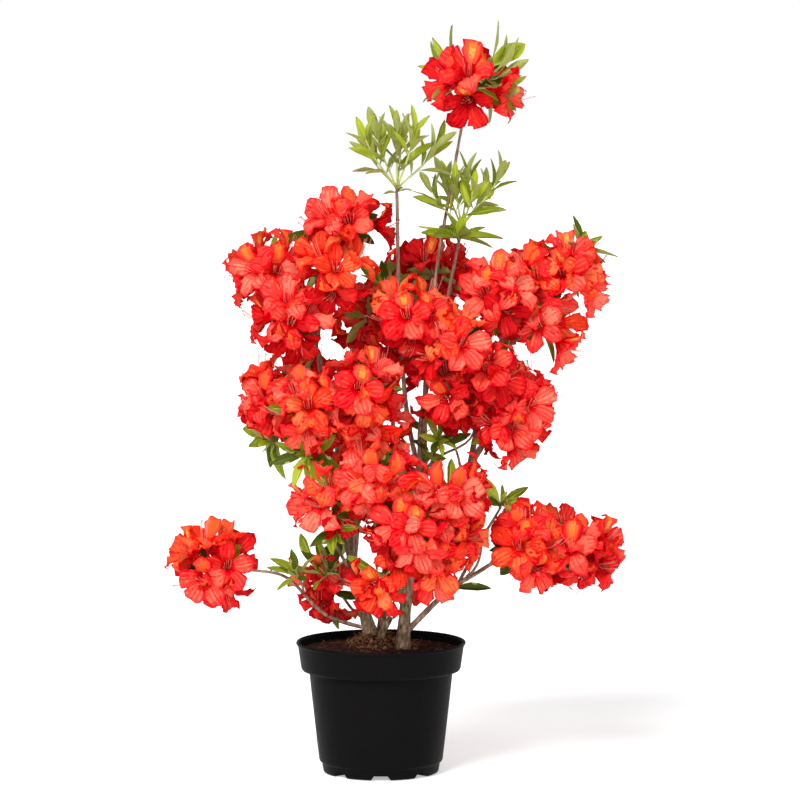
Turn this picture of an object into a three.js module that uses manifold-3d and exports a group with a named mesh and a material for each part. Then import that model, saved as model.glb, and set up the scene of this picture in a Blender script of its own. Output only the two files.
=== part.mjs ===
// A deciduous azalea in flower, growing in a round three-litre nursery pot.
// Millimetres, +Z up. The origin is the middle of the pot's flat underside, and the shrub's front looks along -Y.
//
// The shrub is a clump of three woody stems. Slender boughs leave them, and each bough ends where it enters a mass:
// a group of flower heads, or a leafy shoot. A flower head is a bud knob with funnel-shaped flowers and a few leaves
// set round it by the golden angle. Every node keeps a gap of 0.3 mm to its neighbours.
import * as THREE from 'three';
import { mergeVertices } from 'three/addons/utils/BufferGeometryUtils.js';
import Module from 'manifold-3d';

const wasm = await Module();
wasm.setup();
const { Manifold } = wasm;

// ---------------------------------------------------------------- driving dimensions

const GAP = 0.3;

const POT = {
  height: 147.4,
  rimRadius: 95.3,
  collarTopRadius: 93.6,
  collarFootRadius: 89.8,
  collarFootHeight: 117,
  shoulderRadius: 80.5,
  shoulderHeight: 113,
  bodyFootRadius: 69.3,
  bodyFootHeight: 13.5,
  plinthRadius: 65.5,
  wall: 1.6,
  sides: 32,
};
const DRAIN = { count: 8, width: 22, height: 6.5, reach: 15, holeRadius: 3.2 };
const SOIL = { level: 138, moundHeight: 15, moundRadius: 38, moundX: -8, moundY: 8, sides: 16 };

const FLOWER = { radius: 37.5, rise: 36, throatDepth: 9, neckRadius: 3.6, footRadius: 1.2, valleyShare: 0.6 };
const LEAF = { length: 46, widthShare: 0.38, thickness: 1.2, arch: 4 };
const HEAD = { knobRadius: 4.2, flowers: 5, tries: 30, leaves: 1, widest: 112, leafAngle: 118 };
const TWIG = { rootRadius: 1.9, tipRadius: 1.3, sides: 3, rings: 3 };
const SHOOT = { knobRadius: 2.6, leafAngle: 58, leafLength: 50, stalk: [38, 60], fan: 54, roll: 1.1 };
const GOLDEN_ANGLE = THREE.MathUtils.degToRad(137.508);
const SEED = 20;

// The woody stems, each from its foot in the soil to its fork: points on the centre line, the two radii and the
// extra radius of the root flare.
const STEMS = [
  { name: 'stem_left', line: [[-10, 10, 149], [-28, 5, 216], [-40, 0, 290], [-48, 0, 380]], radii: [6.7, 4.4], flare: 2.6 },
  { name: 'stem_right', line: [[24, -15, 141], [30, -12, 207], [42, -8, 275], [50, -5, 345]], radii: [7.0, 4.4], flare: 2.6 },
  { name: 'stem_back', line: [[0, 24, 148], [4, 30, 200], [6, 44, 250], [10, 56, 300]], radii: [4.6, 3.4], flare: 1.6 },
  { name: 'stem_stub', line: [[0, -4, 149], [2, -5, 158], [6, -6, 166], [11, -7, 175]], radii: [4.2, 3.4], flare: 0.8 },
];

// One row is one bough and the mass at its end. `from` is the limb it leaves and how far along, `via` shapes its
// bend, `to` is its tip, and `radii` are its two ends. A head is [x, y, z, azimuth, elevation] of the bud knob and
// of the way it faces: azimuth 0 faces the front and 90 the right. A shoot adds its number of leaves and of stalks,
// and may add how far its leaves lean off the axis, in degrees, and how long they are.
const BRANCHES = [
  {
    name: 'top', from: ['stem_right', 0.97], via: [[50, 6, 440], [62, 10, 560]], to: [92, 3, 735], radii: [3.0, 1.5],
    heads: [[106, -10, 767, 4, 4]],
    shoots: [[105, 12, 785, 170, 40, 10, 0, 78, 56]],
  },
  {
    name: 'shoot_upper_left', from: ['stem_right', 0.88], via: [[30, -14, 400], [21, -18, 520]], to: [18, -10, 646],
    radii: [3.0, 1.9],
    heads: [], shoots: [[18, -10, 655, 0, 90, 5, 6, 54, 55]],
  },
  {
    name: 'shoot_upper_right', from: ['bough_top', 0.28], via: [[68, 6, 500]], to: [86, 10, 590], radii: [2.5, 1.8],
    heads: [], shoots: [[90, 10, 612, 50, 80, 4, 6, 54, 50], [86, -2, 600, 0, 75, 7, 0, 80, 42]],
  },
  {
    name: 'upper_left', from: ['stem_left', 0.98], via: [[-58, -4, 430]], to: [-70, -16, 474], radii: [3.6, 2.4],
    heads: [[-36, -20, 612, 10, 20], [-121, -15, 565, -50, 15], [-51, -60, 562, 0, 12], [-97, -52, 513, -10, -12],
      [-64, 4, 604, 25, 20]],
    shoots: [],
  },
  {
    name: 'upper_right', from: ['bough_right', 0.62], via: [[108, 8, 385], [124, 4, 430]], to: [133, -4, 468],
    radii: [3.6, 2.4],
    heads: [[130, -46, 536, -12, 4], [172, -8, 548, 5, 20], [204, -4, 556, 40, 15], [177, -20, 502, 75, 15]],
    shoots: [[222, 16, 584, 65, 50, 6, 0, 62, 46]],
  },
  {
    name: 'centre', from: ['stem_right', 0.8], via: [[44, -24, 390]], to: [52, -40, 446], radii: [3.2, 2.2],
    heads: [[35, -78, 516, -8, 14], [80, -82, 488, 15, -5], [76, -50, 436, 5, -20]],
    shoots: [],
  },
  {
    name: 'right', from: ['stem_right', 0.55], via: [[92, -6, 335]], to: [122, -22, 384], radii: [5.2, 3.0],
    heads: [[116, -60, 454, -8, 8], [148, -38, 416, 35, -4], [138, -36, 398, 12, -18]],
    shoots: [],
  },
  {
    name: 'left', from: ['stem_left', 0.82], via: [[-62, -14, 360]], to: [-82, -26, 384], radii: [2.8, 1.9],
    heads: [[-114, -30, 423, -50, 4], [-80, -70, 414, 0, 8]],
    shoots: [[-80, -70, 367, -10, 5, 7, 0, 66, 46], [-116, -25, 386, -60, -35, 5, 0]],
  },
  {
    name: 'centre_left', from: ['stem_left', 0.38], via: [[-24, -10, 300]], to: [-20, -46, 396], radii: [2.4, 1.7],
    heads: [[-20, -88, 437, 0, 6], [-8, -60, 392, 5, -15]],
    shoots: [],
  },
  {
    name: 'front', from: ['stem_right', 0.25], via: [[34, -30, 225]], to: [32, -58, 262], radii: [3.8, 2.6],
    heads: [[0, -104, 340, -18, 20], [74, -96, 324, 25, 8], [72, -84, 282, 45, -6], [32, -122, 292, 0, 4], [4, -92, 232, -18, -22],
      [54, -84, 248, 25, -20]],
    shoots: [],
  },
  {
    name: 'front_left', from: ['stem_left', 0.3], via: [[-44, -14, 246]], to: [-60, -34, 276], radii: [2.1, 1.5],
    heads: [[-56, -62, 315, -25, 0]],
    shoots: [[-50, -72, 284, -15, 5, 4, 0]],
  },
  {
    name: 'low_left', from: ['stem_left', 0.1], via: [[-32, 20, 180]], to: [-42, 28, 192], radii: [1.9, 1.5],
    heads: [[-58, 24, 201, -40, -5], [-74, 20, 231, -40, 5]],
    shoots: [[-62, -10, 222, -40, 55, 5, 0]],
  },
  {
    name: 'far_left', from: ['stem_left', 0.05], via: [[-62, -6, 178], [-108, -12, 222]], to: [-148, -8, 229],
    radii: [2.4, 1.5],
    heads: [[-190, -16, 236, -25, 12], [-175, -8, 233, 25, 0]],
    shoots: [],
  },
  {
    name: 'shoot_low_left', from: ['bough_far_left', 0.5], via: [], to: [-90, -20, 220], radii: [1.4, 1.2],
    heads: [], shoots: [[-92, -26, 224, -40, 40, 7, 0]],
  },
  {
    name: 'far_right', from: ['stem_right', 0.08], via: [[77, -20, 208], [111, -25, 230]], to: [136, -27, 246],
    radii: [3.4, 1.8],
    heads: [[166, -30, 266, -12, 12], [219, -15, 250, 40, 5], [196, 24, 254, 150, 10], [159, -36, 253, -10, -8]],
    shoots: [],
  },
  {
    name: 'shoot_right', from: ['bough_far_right', 0.42], via: [[112, -8, 262]], to: [130, -5, 292], radii: [2.0, 1.4],
    heads: [], shoots: [[134, -6, 302, 40, 50, 7, 0, 66, 42]],
  },
  {
    name: 'shoot_centre', from: ['stem_right', 0.9], via: [], to: [62, -24, 368], radii: [1.6, 1.4],
    heads: [], shoots: [[64, -30, 376, 20, 20, 6, 0]],
  },
  {
    name: 'back_upper', from: ['stem_back', 0.96], via: [[14, 54, 400]], to: [18, 52, 470], radii: [3.0, 2.0],
    heads: [[60, 66, 556, 160, 35], [-15, 72, 507, -160, 10], [30, 84, 538, 180, 10], [18, 26, 470, -5, 0]],
    shoots: [[4, 32, 540, -10, 60, 4, 0]],
  },
  {
    name: 'back_left', from: ['stem_back', 0.8], via: [[-30, 66, 330]], to: [-58, 72, 376], radii: [2.8, 1.9],
    heads: [[-93, 92, 420, -150, 0], [-88, 80, 530, -140, 15], [-30, 118, 420, 180, 0]],
    shoots: [[-110, 60, 380, -100, -5, 4, 0]],
  },
  {
    name: 'back_right', from: ['stem_back', 0.88], via: [[56, 66, 350]], to: [96, 70, 392], radii: [3.0, 1.9],
    heads: [[145, 86, 412, 140, 0], [158, 78, 522, 140, 15], [70, 116, 478, 175, 10]],
    shoots: [],
  },
  {
    name: 'back_low', from: ['stem_back', 0.35], via: [[14, 56, 225]], to: [18, 72, 246], radii: [2.4, 1.8],
    heads: [[14, 108, 300, 180, 15], [34, 100, 226, 165, -10]],
    shoots: [[-30, 90, 262, -150, 10, 4, 0]],
  },
];

// ---------------------------------------------------------------- small tools

const vector = (place) => new THREE.Vector3(...place);

// A repeatable stream of numbers from 0 to 1.
function seeded(seed) {
  let state = seed >>> 0;
  return () => {
    state = (state + 0x6d2b79f5) >>> 0;
    let mixed = Math.imul(state ^ (state >>> 15), state | 1);
    mixed ^= mixed + Math.imul(mixed ^ (mixed >>> 7), mixed | 61);
    return ((mixed ^ (mixed >>> 14)) >>> 0) / 4294967296;
  };
}

// The way that an azimuth and an elevation face: 0, 0 is the front (-Y) and 90, 0 the right (+X).
function facing(azimuth, elevation) {
  const a = THREE.MathUtils.degToRad(azimuth);
  const e = THREE.MathUtils.degToRad(elevation);
  return new THREE.Vector3(Math.sin(a) * Math.cos(e), -Math.cos(a) * Math.cos(e), Math.sin(e));
}

// A three.js geometry as a solid that can be cut and joined.
function solidOf(geometry) {
  const bare = geometry.clone();
  bare.deleteAttribute('normal');
  bare.deleteAttribute('uv');
  const merged = mergeVertices(bare, 1e-4);
  return new Manifold(new wasm.Mesh({
    numProp: 3,
    vertProperties: merged.attributes.position.array,
    triVerts: new Uint32Array(merged.index.array),
  }));
}

// A solid as a three.js geometry.
function geometryOf(solid) {
  const mesh = solid.getMesh();
  const geometry = new THREE.BufferGeometry();
  geometry.setAttribute('position', new THREE.BufferAttribute(new Float32Array(mesh.vertProperties), 3));
  geometry.setIndex(new THREE.BufferAttribute(new Uint32Array(mesh.triVerts), 1));
  geometry.computeVertexNormals();
  return geometry;
}

// A solid whose edges shorter than `shortest` are closed up, each by drawing its two ends together. An edge is
// closed only where exactly two triangles meet it, so that the surface stays whole.
function withoutShortEdges(solid, shortest) {
  const mesh = solid.getMesh();
  const corner = (v) => new THREE.Vector3().fromArray(mesh.vertProperties, v * 3);
  let triangles = [];
  for (let i = 0; i < mesh.triVerts.length; i += 3) triangles.push([...mesh.triVerts.subarray(i, i + 3)]);
  for (let closed = true; closed;) {
    closed = false;
    const around = new Map();
    for (const triangle of triangles) {
      for (const v of triangle) around.set(v, new Set([...(around.get(v) ?? []), ...triangle]));
    }
    const settled = new Set();
    const movedTo = new Map();
    for (const triangle of triangles) {
      for (let i = 0; i < 3; i++) {
        const [a, b] = [triangle[i], triangle[(i + 1) % 3]];
        const near = new Set([...around.get(a), ...around.get(b)]);
        if ([...near].some((v) => settled.has(v)) || corner(a).distanceTo(corner(b)) > shortest) continue;
        const shared = [...around.get(a)].filter((v) => v !== a && v !== b && around.get(b).has(v));
        if (shared.length !== 2) continue;
        movedTo.set(b, a);
        near.forEach((v) => settled.add(v));
        closed = true;
      }
    }
    triangles = triangles.map((triangle) => triangle.map((v) => movedTo.get(v) ?? v))
      .filter(([a, b, c]) => a !== b && b !== c && c !== a);
  }
  const used = [...new Set(triangles.flat())];
  const place = new Map(used.map((v, i) => [v, i]));
  return new Manifold(new wasm.Mesh({
    numProp: 3,
    vertProperties: new Float32Array(used.flatMap((v) => corner(v).toArray())),
    triVerts: new Uint32Array(triangles.flat().map((v) => place.get(v))),
  }));
}

// The largest body of a solid: loose scraps go, and a hollow that joining has sealed is filled.
function largestBody(solid) {
  return solid.decompose().reduce((best, body) => (body.volume() > best.volume() ? body : best));
}

// Turns local +Z to `way` and local +Y as near to `up` as it goes, and moves the origin to `place`.
function standing(place, way, up) {
  const z = way.clone().normalize();
  const x = new THREE.Vector3().crossVectors(up, z);
  if (x.lengthSq() < 1e-4) x.set(1, 0, 0).cross(z);
  x.normalize();
  const y = new THREE.Vector3().crossVectors(z, x);
  return new THREE.Matrix4().makeBasis(x, y, z).setPosition(place);
}

// ---------------------------------------------------------------- limbs

// A tapering limb: a cylinder whose rings are carried along a curve. `grow` makes it thicker and longer all over.
function limbSolid(curve, rootRadius, tipRadius, { sides = 6, rings = 5, flare = 0, grow = 0 } = {}) {
  const geometry = new THREE.CylinderGeometry(1, 1, 1, sides, rings);
  const position = geometry.attributes.position;
  const side = new THREE.Vector3();
  const along = new THREE.Vector3();
  const point = new THREE.Vector3();
  for (let i = 0; i < position.count; i++) {
    const share = position.getY(i) + 0.5;
    const radius = THREE.MathUtils.lerp(rootRadius, tipRadius, share) + flare * Math.exp(-share * 14) + grow;
    curve.getTangent(share, along);
    curve.getPoint(share, point);
    if (share < 0.001) point.addScaledVector(along, -grow);
    if (share > 0.999) point.addScaledVector(along, grow);
    side.set(0, 1, 0).cross(along).normalize();
    const other = new THREE.Vector3().crossVectors(along, side);
    point.addScaledVector(side, position.getX(i) * radius).addScaledVector(other, -position.getZ(i) * radius);
    position.setXYZ(i, point.x, point.y, point.z);
  }
  const solid = solidOf(geometry);
  if (solid.volume() > 0) return solid;
  return solidOf(turnedInsideOut(geometry));
}

function turnedInsideOut(geometry) {
  const index = geometry.index.array;
  for (let i = 0; i < index.length; i += 3) [index[i + 1], index[i + 2]] = [index[i + 2], index[i + 1]];
  return geometry;
}

// A stem's foot is a flat cut at ground level, so what hangs below that level comes off.
function cutLevel(solid, height) {
  const block = new THREE.BoxGeometry(200, 200, 100).translate(0, 0, height - 50);
  return solid.subtract(solidOf(block));
}

// ---------------------------------------------------------------- the pot and its filling

function lathe(profile, sides) {
  const points = profile.map(([radius, height]) => new THREE.Vector2(radius, height));
  return new THREE.LatheGeometry(points, sides).rotateX(Math.PI / 2);
}

// The pot's outline, or with `inset` the room inside it, up to `top`.
function potRoom(inset, top) {
  const collarInset = Math.min(inset, POT.wall + GAP);
  return lathe([
    [0, inset],
    [POT.plinthRadius - inset, inset],
    [POT.plinthRadius + 1 - inset, POT.bodyFootHeight - 2.5 + inset],
    [POT.bodyFootRadius - inset, POT.bodyFootHeight + inset],
    [POT.shoulderRadius - inset, POT.shoulderHeight + collarInset],
    [POT.collarFootRadius - inset, POT.collarFootHeight + collarInset],
    [collarRadius(top) - inset, top],
    [0, top],
  ], POT.sides);
}

// The collar's outer radius at a height.
function collarRadius(height) {
  const share = (height - POT.collarFootHeight) / (POT.height - 3.5 - POT.collarFootHeight);
  return THREE.MathUtils.lerp(POT.collarFootRadius, POT.collarTopRadius, share);
}

// The ring of drainage recesses under the pot's edge, `grow` wider on every side but the floor's.
function drains(grow) {
  const half = DRAIN.width / 2 + grow;
  const top = DRAIN.height + grow;
  const arch = new THREE.Shape();
  arch.moveTo(-half, -5);
  arch.lineTo(half, -5);
  arch.lineTo(half - 2.5, top);
  arch.lineTo(2.5 - half, top);
  const depth = DRAIN.reach + 30 + grow;
  const recess = new THREE.ExtrudeGeometry(arch, { depth, bevelEnabled: false }).rotateX(Math.PI / 2);
  recess.translate(0, -(POT.plinthRadius - DRAIN.reach - grow), 0);
  const ring = [];
  for (let i = 0; i < DRAIN.count; i++) {
    ring.push(solidOf(recess.clone().rotateZ((i * 2 * Math.PI) / DRAIN.count)));
  }
  return Manifold.union(ring);
}

// The small holes that open each recess to the soil.
function drainHoles() {
  const hole = new THREE.CylinderGeometry(DRAIN.holeRadius, DRAIN.holeRadius, 6, 6).rotateX(Math.PI / 2);
  hole.translate(0, -(POT.plinthRadius - DRAIN.reach + DRAIN.holeRadius + 2), DRAIN.height + 1);
  const ring = [];
  for (let i = 0; i < DRAIN.count; i++) {
    ring.push(solidOf(hole.clone().rotateZ((i * 2 * Math.PI) / DRAIN.count)));
  }
  return Manifold.union(ring);
}

function potSolid() {
  const outside = solidOf(potRoom(0, POT.height - 3.5));
  const lip = solidOf(lathe([
    [0, POT.height - 3.5],
    [POT.collarTopRadius, POT.height - 3.5],
    [POT.rimRadius, POT.height - 2.6],
    [POT.rimRadius, POT.height - 0.5],
    [POT.rimRadius - 0.5, POT.height],
    [0, POT.height],
  ], POT.sides));
  const room = solidOf(potRoom(POT.wall, POT.height - 3.5)).subtract(drains(POT.wall));
  const mouth = collarRadius(POT.height - 3.5) - POT.wall;
  const opening = solidOf(lathe([
    [0, POT.height - 4],
    [mouth, POT.height - 4],
    [mouth + 0.6, POT.height + 1],
    [0, POT.height + 1],
  ], POT.sides));
  return largestBody(outside.add(lip).subtract(room).subtract(opening).subtract(drains(0)).subtract(drainHoles()));
}

// How high the soil lies over a place: level, with a mound round the foot of the clump.
function soilHeight(x, y) {
  const away = Math.hypot(x - SOIL.moundX, y - SOIL.moundY) / SOIL.moundRadius;
  return SOIL.level + SOIL.moundHeight * Math.exp(-away * away);
}

function soilSolid(stems) {
  const inset = POT.wall + GAP;
  const filling = solidOf(potRoom(inset, SOIL.level)).subtract(drains(inset));
  const rings = [0, 16, 34, 60];
  const profile = rings.map((radius) => [radius, SOIL.level]).reverse();
  const mound = lathe([[0, SOIL.level - 6], [rings.at(-1), SOIL.level - 6], ...profile], SOIL.sides);
  const position = mound.attributes.position;
  for (let i = 0; i < position.count; i++) {
    const x = position.getX(i);
    const y = position.getY(i);
    if (Math.hypot(x, y) < rings.at(-1) - 1 && position.getZ(i) > SOIL.level - 1) {
      position.setZ(i, soilHeight(x, y));
    }
  }
  return largestBody(stems.reduce((soil, stem) => soil.subtract(stem), filling.add(solidOf(mound))));
}

// ---------------------------------------------------------------- flowers and leaves

// A shallow funnel of five blunt lobes on a three-sided foot. The foot starts at the origin, the funnel opens
// along +Z, and lobe 0 points along +Y. Its edge runs through a valley and two shoulders for each lobe. The upper
// face falls from that edge to the throat, and the under face falls to a neck that narrows to the foot.
function flowerGeometry(scale) {
  const radius = FLOWER.radius * scale;
  const rise = FLOWER.rise * scale;
  const lobe = (2 * Math.PI) / 5;
  const edge = [[-lobe / 2, FLOWER.valleyShare, -2], [-lobe * 0.25, 0.9, 2], [lobe * 0.22, 0.98, 0]];
  const points = [];
  for (let k = 0; k < 5; k++) {
    for (const [turn, share, lift] of edge) {
      const angle = k * lobe + turn;
      points.push([-Math.sin(angle) * radius * share, Math.cos(angle) * radius * share, rise + lift * scale]);
    }
  }
  const count = points.length;
  const throat = points.push([0, 0, rise - FLOWER.throatDepth * scale]) - 1;
  const ring = (ringRadius, height) => [0, 1, 2].map((i) => {
    const angle = ((i + 0.5) * 2 * Math.PI) / 3;
    return points.push([-Math.sin(angle) * ringRadius, Math.cos(angle) * ringRadius, height]) - 1;
  });
  const neck = ring(FLOWER.neckRadius * scale, rise - (FLOWER.throatDepth + 2.5) * scale);
  const foot = ring(FLOWER.footRadius, 0);
  const faces = [];
  for (let i = 0; i < count; i++) {
    const next = (i + 1) % count;
    faces.push([i, next, throat], [next, i, neck[Math.floor(i / 5)]]);
    if (next % 5 === 0) faces.push([next, neck[Math.floor(i / 5)], neck[Math.floor(next / 5)]]);
  }
  for (let i = 0; i < 3; i++) {
    const next = (i + 1) % 3;
    faces.push([neck[next], neck[i], foot[i]], [neck[next], foot[i], foot[next]]);
  }
  faces.push([foot[2], foot[1], foot[0]]);
  const geometry = new THREE.BufferGeometry();
  geometry.setAttribute('position', new THREE.Float32BufferAttribute(points.flat(), 3));
  geometry.setIndex(faces.flat());
  return geometry;
}

// A leaf of eight faces: an octahedron drawn out along +Z, flat across Y and arched in the middle.
function leafGeometry(length) {
  const geometry = new THREE.OctahedronGeometry(1, 0);
  const position = geometry.attributes.position;
  for (let i = 0; i < position.count; i++) {
    const share = (position.getZ(i) + 1) / 2;
    const rise = LEAF.arch * Math.sin(Math.PI * share);
    const across = position.getX(i) * length * LEAF.widthShare * 0.5;
    position.setXYZ(i, across, rise + position.getY(i) * LEAF.thickness * 0.5, share * length);
  }
  return geometry;
}

// Directions set round `axis` by the golden angle, from the axis itself out to `widest` degrees off it.
function spread(axis, count, widest, turn) {
  const place = standing(new THREE.Vector3(), axis, new THREE.Vector3(0, 0, 1));
  const cap = 1 - Math.cos(THREE.MathUtils.degToRad(widest));
  const ways = [];
  for (let i = 0; i < count; i++) {
    const cosine = i === 0 ? 1 : 1 - (cap * (i + 0.4)) / count;
    const sine = Math.sqrt(1 - cosine * cosine);
    const angle = turn + i * GOLDEN_ANGLE;
    ways.push(new THREE.Vector3(sine * Math.cos(angle), sine * Math.sin(angle), cosine).applyMatrix4(place));
  }
  return ways;
}

// Directions of a whorl of leaves, all about `lean` degrees off the axis.
function whorl(axis, count, lean, turn) {
  const place = standing(new THREE.Vector3(), axis, new THREE.Vector3(0, 0, 1));
  const ways = [];
  for (let i = 0; i < count; i++) {
    const angle = turn + i * GOLDEN_ANGLE;
    const off = THREE.MathUtils.degToRad(lean * (0.75 + 0.5 * ((i * 0.618) % 1)));
    const way = new THREE.Vector3(Math.sin(off) * Math.cos(angle), Math.sin(off) * Math.sin(angle), Math.cos(off));
    ways.push(way.applyMatrix4(place));
  }
  return ways;
}

// ---------------------------------------------------------------- assembly

const plant = new THREE.Group();
plant.name = 'azalea_in_pot';
const taken = [];
const curves = new Map();

const MATERIALS = {
  pot: new THREE.MeshStandardMaterial({ color: 0x232324, roughness: 0.45, metalness: 0 }),
  soil: new THREE.MeshStandardMaterial({ color: 0x3b241a, roughness: 1, metalness: 0 }),
  bark: new THREE.MeshStandardMaterial({ color: 0x7b6650, roughness: 0.9, metalness: 0 }),
  twig: new THREE.MeshStandardMaterial({ color: 0x8a5f4e, roughness: 0.85, metalness: 0 }),
  petal: new THREE.MeshStandardMaterial({ color: 0xf0452f, roughness: 0.6, metalness: 0 }),
  leaf: new THREE.MeshStandardMaterial({ color: 0x8fa83a, roughness: 0.55, metalness: 0 }),
};

function addNode(name, joined, material) {
  const solid = withoutShortEdges(joined, 0.08);
  const mesh = new THREE.Mesh(geometryOf(solid), material);
  mesh.name = name;
  plant.add(mesh);
  taken.push({ solid, box: new THREE.Box3(vector(solid.boundingBox().min), vector(solid.boundingBox().max)) });
}

// True if a piece keeps its gap to every node made so far.
function isClear(piece) {
  const { min, max } = piece.boundingBox();
  const box = new THREE.Box3(vector(min), vector(max)).expandByScalar(GAP);
  return taken.every((node) => !node.box.intersectsBox(box) || node.solid.minGap(piece, 2 * GAP) >= GAP);
}

function addStems() {
  const sockets = [];
  for (const { name, line, radii, flare } of STEMS) {
    const curve = new THREE.CatmullRomCurve3(line.map(vector));
    curves.set(name, { curve, radii });
    const ground = line[0][2];
    addNode(name, cutLevel(limbSolid(curve, ...radii, { sides: 6, rings: 7, flare }), ground + 1), MATERIALS.bark);
    sockets.push(cutLevel(limbSolid(curve, ...radii, { sides: 6, rings: 7, flare, grow: GAP }), ground + 1 - GAP));
  }
  return sockets;
}

// A bough starts on its parent's centre line and is cut back from every limb that is already there.
function addBough({ name, from: [parentName, share], via, to, radii }) {
  const parent = curves.get(parentName);
  const start = parent.curve.getPoint(share);
  const curve = new THREE.CatmullRomCurve3([start, ...via.map(vector), vector(to)]);
  const boughName = `bough_${name}`;
  curves.set(boughName, { curve, radii });
  let solid = limbSolid(curve, ...radii, { sides: 5 });
  for (const other of limbsGrown) solid = solid.subtract(other);
  addNode(boughName, largestBody(solid).simplify(0.02), MATERIALS.twig);
  limbsGrown.push(limbSolid(curve, ...radii, { sides: 5, grow: GAP }));
}

// A three-sided twig from one place to another, leaving and arriving the given ways.
function twigSolid(start, leave, end, arrive, rootRadius, tipRadius) {
  const reach = start.distanceTo(end) * 0.4;
  const curve = new THREE.CubicBezierCurve3(
    start,
    start.clone().addScaledVector(leave, reach),
    end.clone().addScaledVector(arrive, -reach),
    end,
  );
  return limbSolid(curve, rootRadius, tipRadius, { sides: TWIG.sides, rings: TWIG.rings });
}

function knobSolid(place, radius) {
  return solidOf(new THREE.OctahedronGeometry(radius, 0).translate(place.x, place.y, place.z));
}

// Adds a piece whose root is sunk into a knob, if it keeps clear of the other nodes and crosses no other piece of
// its own mass. Says whether it was added.
function tryPiece(pieces, geometry, knob, way, up, sink) {
  const root = knob.place.clone().addScaledVector(way, -sink);
  root.addScaledVector(way, knob.radius);
  const piece = solidOf(geometry).transform(standing(root, way, up).toArray());
  const crosses = pieces.some(({ solid, home }) => home !== knob && solid.minGap(piece, 1) < 0.4);
  if (crosses || !isClear(piece)) return false;
  pieces.push({ solid: piece, home: null });
  return true;
}

function addKnob(pieces, place, radius) {
  const knob = { place, radius };
  pieces.push({ solid: knobSolid(place, radius * 1.35), home: knob });
  return knob;
}

function addHeadPieces(pieces, place, axis, random) {
  const knob = addKnob(pieces, place, HEAD.knobRadius);
  const up = new THREE.Vector3(0, 0, 1);
  let flowers = 0;
  for (const way of spread(axis, HEAD.tries, HEAD.widest, random() * 2 * Math.PI)) {
    if (flowers === HEAD.flowers) break;
    if (tryPiece(pieces, flowerGeometry(0.9 + 0.14 * random()), knob, way, up, 2)) flowers++;
  }
  for (const way of whorl(axis, HEAD.leaves, HEAD.leafAngle, random() * 2 * Math.PI)) {
    tryPiece(pieces, leafGeometry(LEAF.length), knob, way, up, 2);
  }
}

// A leafy shoot: one whorl of leaves, or several on short stalks that fan out from the knob.
function addShootPieces(pieces, place, axis, [leaves, stalks, lean, length], random) {
  const base = addKnob(pieces, place, SHOOT.knobRadius);
  const tips = stalks === 0 ? [{ knob: base, way: axis }] : [];
  for (const way of spread(axis, stalks, SHOOT.fan, random() * 2 * Math.PI)) {
    const tip = place.clone().addScaledVector(way, THREE.MathUtils.lerp(...SHOOT.stalk, random()));
    const stalk = twigSolid(place.clone().addScaledVector(way, 1.5), way, tip, way, TWIG.tipRadius, 1.1);
    if (!isClear(stalk)) continue;
    pieces.push({ solid: stalk, home: base });
    const knob = addKnob(pieces, tip, SHOOT.knobRadius);
    pieces.at(-2).home = knob;
    tips.push({ knob, way });
  }
  for (const { knob, way } of tips) {
    for (const leafWay of whorl(way, leaves, lean, random() * 2 * Math.PI)) {
      const up = way.clone().applyAxisAngle(leafWay, SHOOT.roll * (2 * random() - 1));
      tryPiece(pieces, leafGeometry(length * (0.8 + 0.35 * random())), knob, leafWay, up, 1.4);
    }
  }
}

// The first twig from a fork to a place that keeps clear of every other node. The straightest way is tried first
// and then ways that swing out further and further round it.
function clearTwig(fork, leave, place, axis) {
  const towards = place.clone().sub(fork).normalize();
  const frame = standing(new THREE.Vector3(), towards, leave);
  for (let i = 0; i < 40; i++) {
    const angle = i * GOLDEN_ANGLE;
    const swing = new THREE.Vector3(Math.cos(angle), Math.sin(angle), 0).applyMatrix4(frame).multiplyScalar(i * 0.035);
    const depart = towards.clone().addScaledVector(leave, 0.3).add(swing).normalize();
    const arrive = towards.clone().addScaledVector(axis, 0.6).sub(swing).normalize();
    const start = fork.clone().addScaledVector(depart, 1);
    const twig = twigSolid(start, depart, place, arrive, TWIG.rootRadius, TWIG.tipRadius);
    if (isClear(twig)) return twig;
  }
  return null;
}

// A mass: one stem from the bough's tip to a fork, twigs from the fork to each knob, and what the knobs carry.
function addMass({ name, heads, shoots }, seed) {
  const random = seeded(seed);
  const { curve, radii } = curves.get(`bough_${name}`);
  const leave = curve.getTangent(1);
  const root = curve.getPoint(1).addScaledVector(leave, GAP);
  const fork = root.clone().addScaledVector(leave, 6);
  const stem = limbSolid(new THREE.LineCurve3(root, fork), radii[1], radii[1] * 0.9, { sides: 5, rings: 1 });
  const pieces = [];
  const forkKnob = addKnob(pieces, fork, radii[1] * 1.2);
  pieces.push({ solid: stem, home: forkKnob });
  for (const [x, y, z, azimuth, elevation, leaves, stalks, lean, length] of [...shoots, ...heads]) {
    const place = new THREE.Vector3(x, y, z);
    const axis = facing(azimuth, elevation);
    const twig = clearTwig(fork, leave, place, axis);
    if (!twig) throw new Error(`no clear way for a twig of ${name} to ${place.toArray()}`);
    pieces.push({ solid: twig, home: forkKnob });
    if (leaves === undefined) addHeadPieces(pieces, place, axis, random);
    else addShootPieces(pieces, place, axis, [leaves, stalks, lean ?? SHOOT.leafAngle, length ?? SHOOT.leafLength], random);
  }
  const material = heads.length ? MATERIALS.petal : MATERIALS.leaf;
  const mass = largestBody(Manifold.union(pieces.map(({ solid }) => solid))).simplify(0.03);
  addNode(heads.length ? `trusses_${name}` : name, mass, material);
}

const sockets = addStems();
const limbsGrown = [...sockets];
addNode('pot', potSolid(), MATERIALS.pot);
addNode('soil', soilSolid(sockets), MATERIALS.soil);
BRANCHES.forEach(orderedByParent(addBough));
BRANCHES.forEach((branch, i) => addMass(branch, SEED + i));

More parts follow.
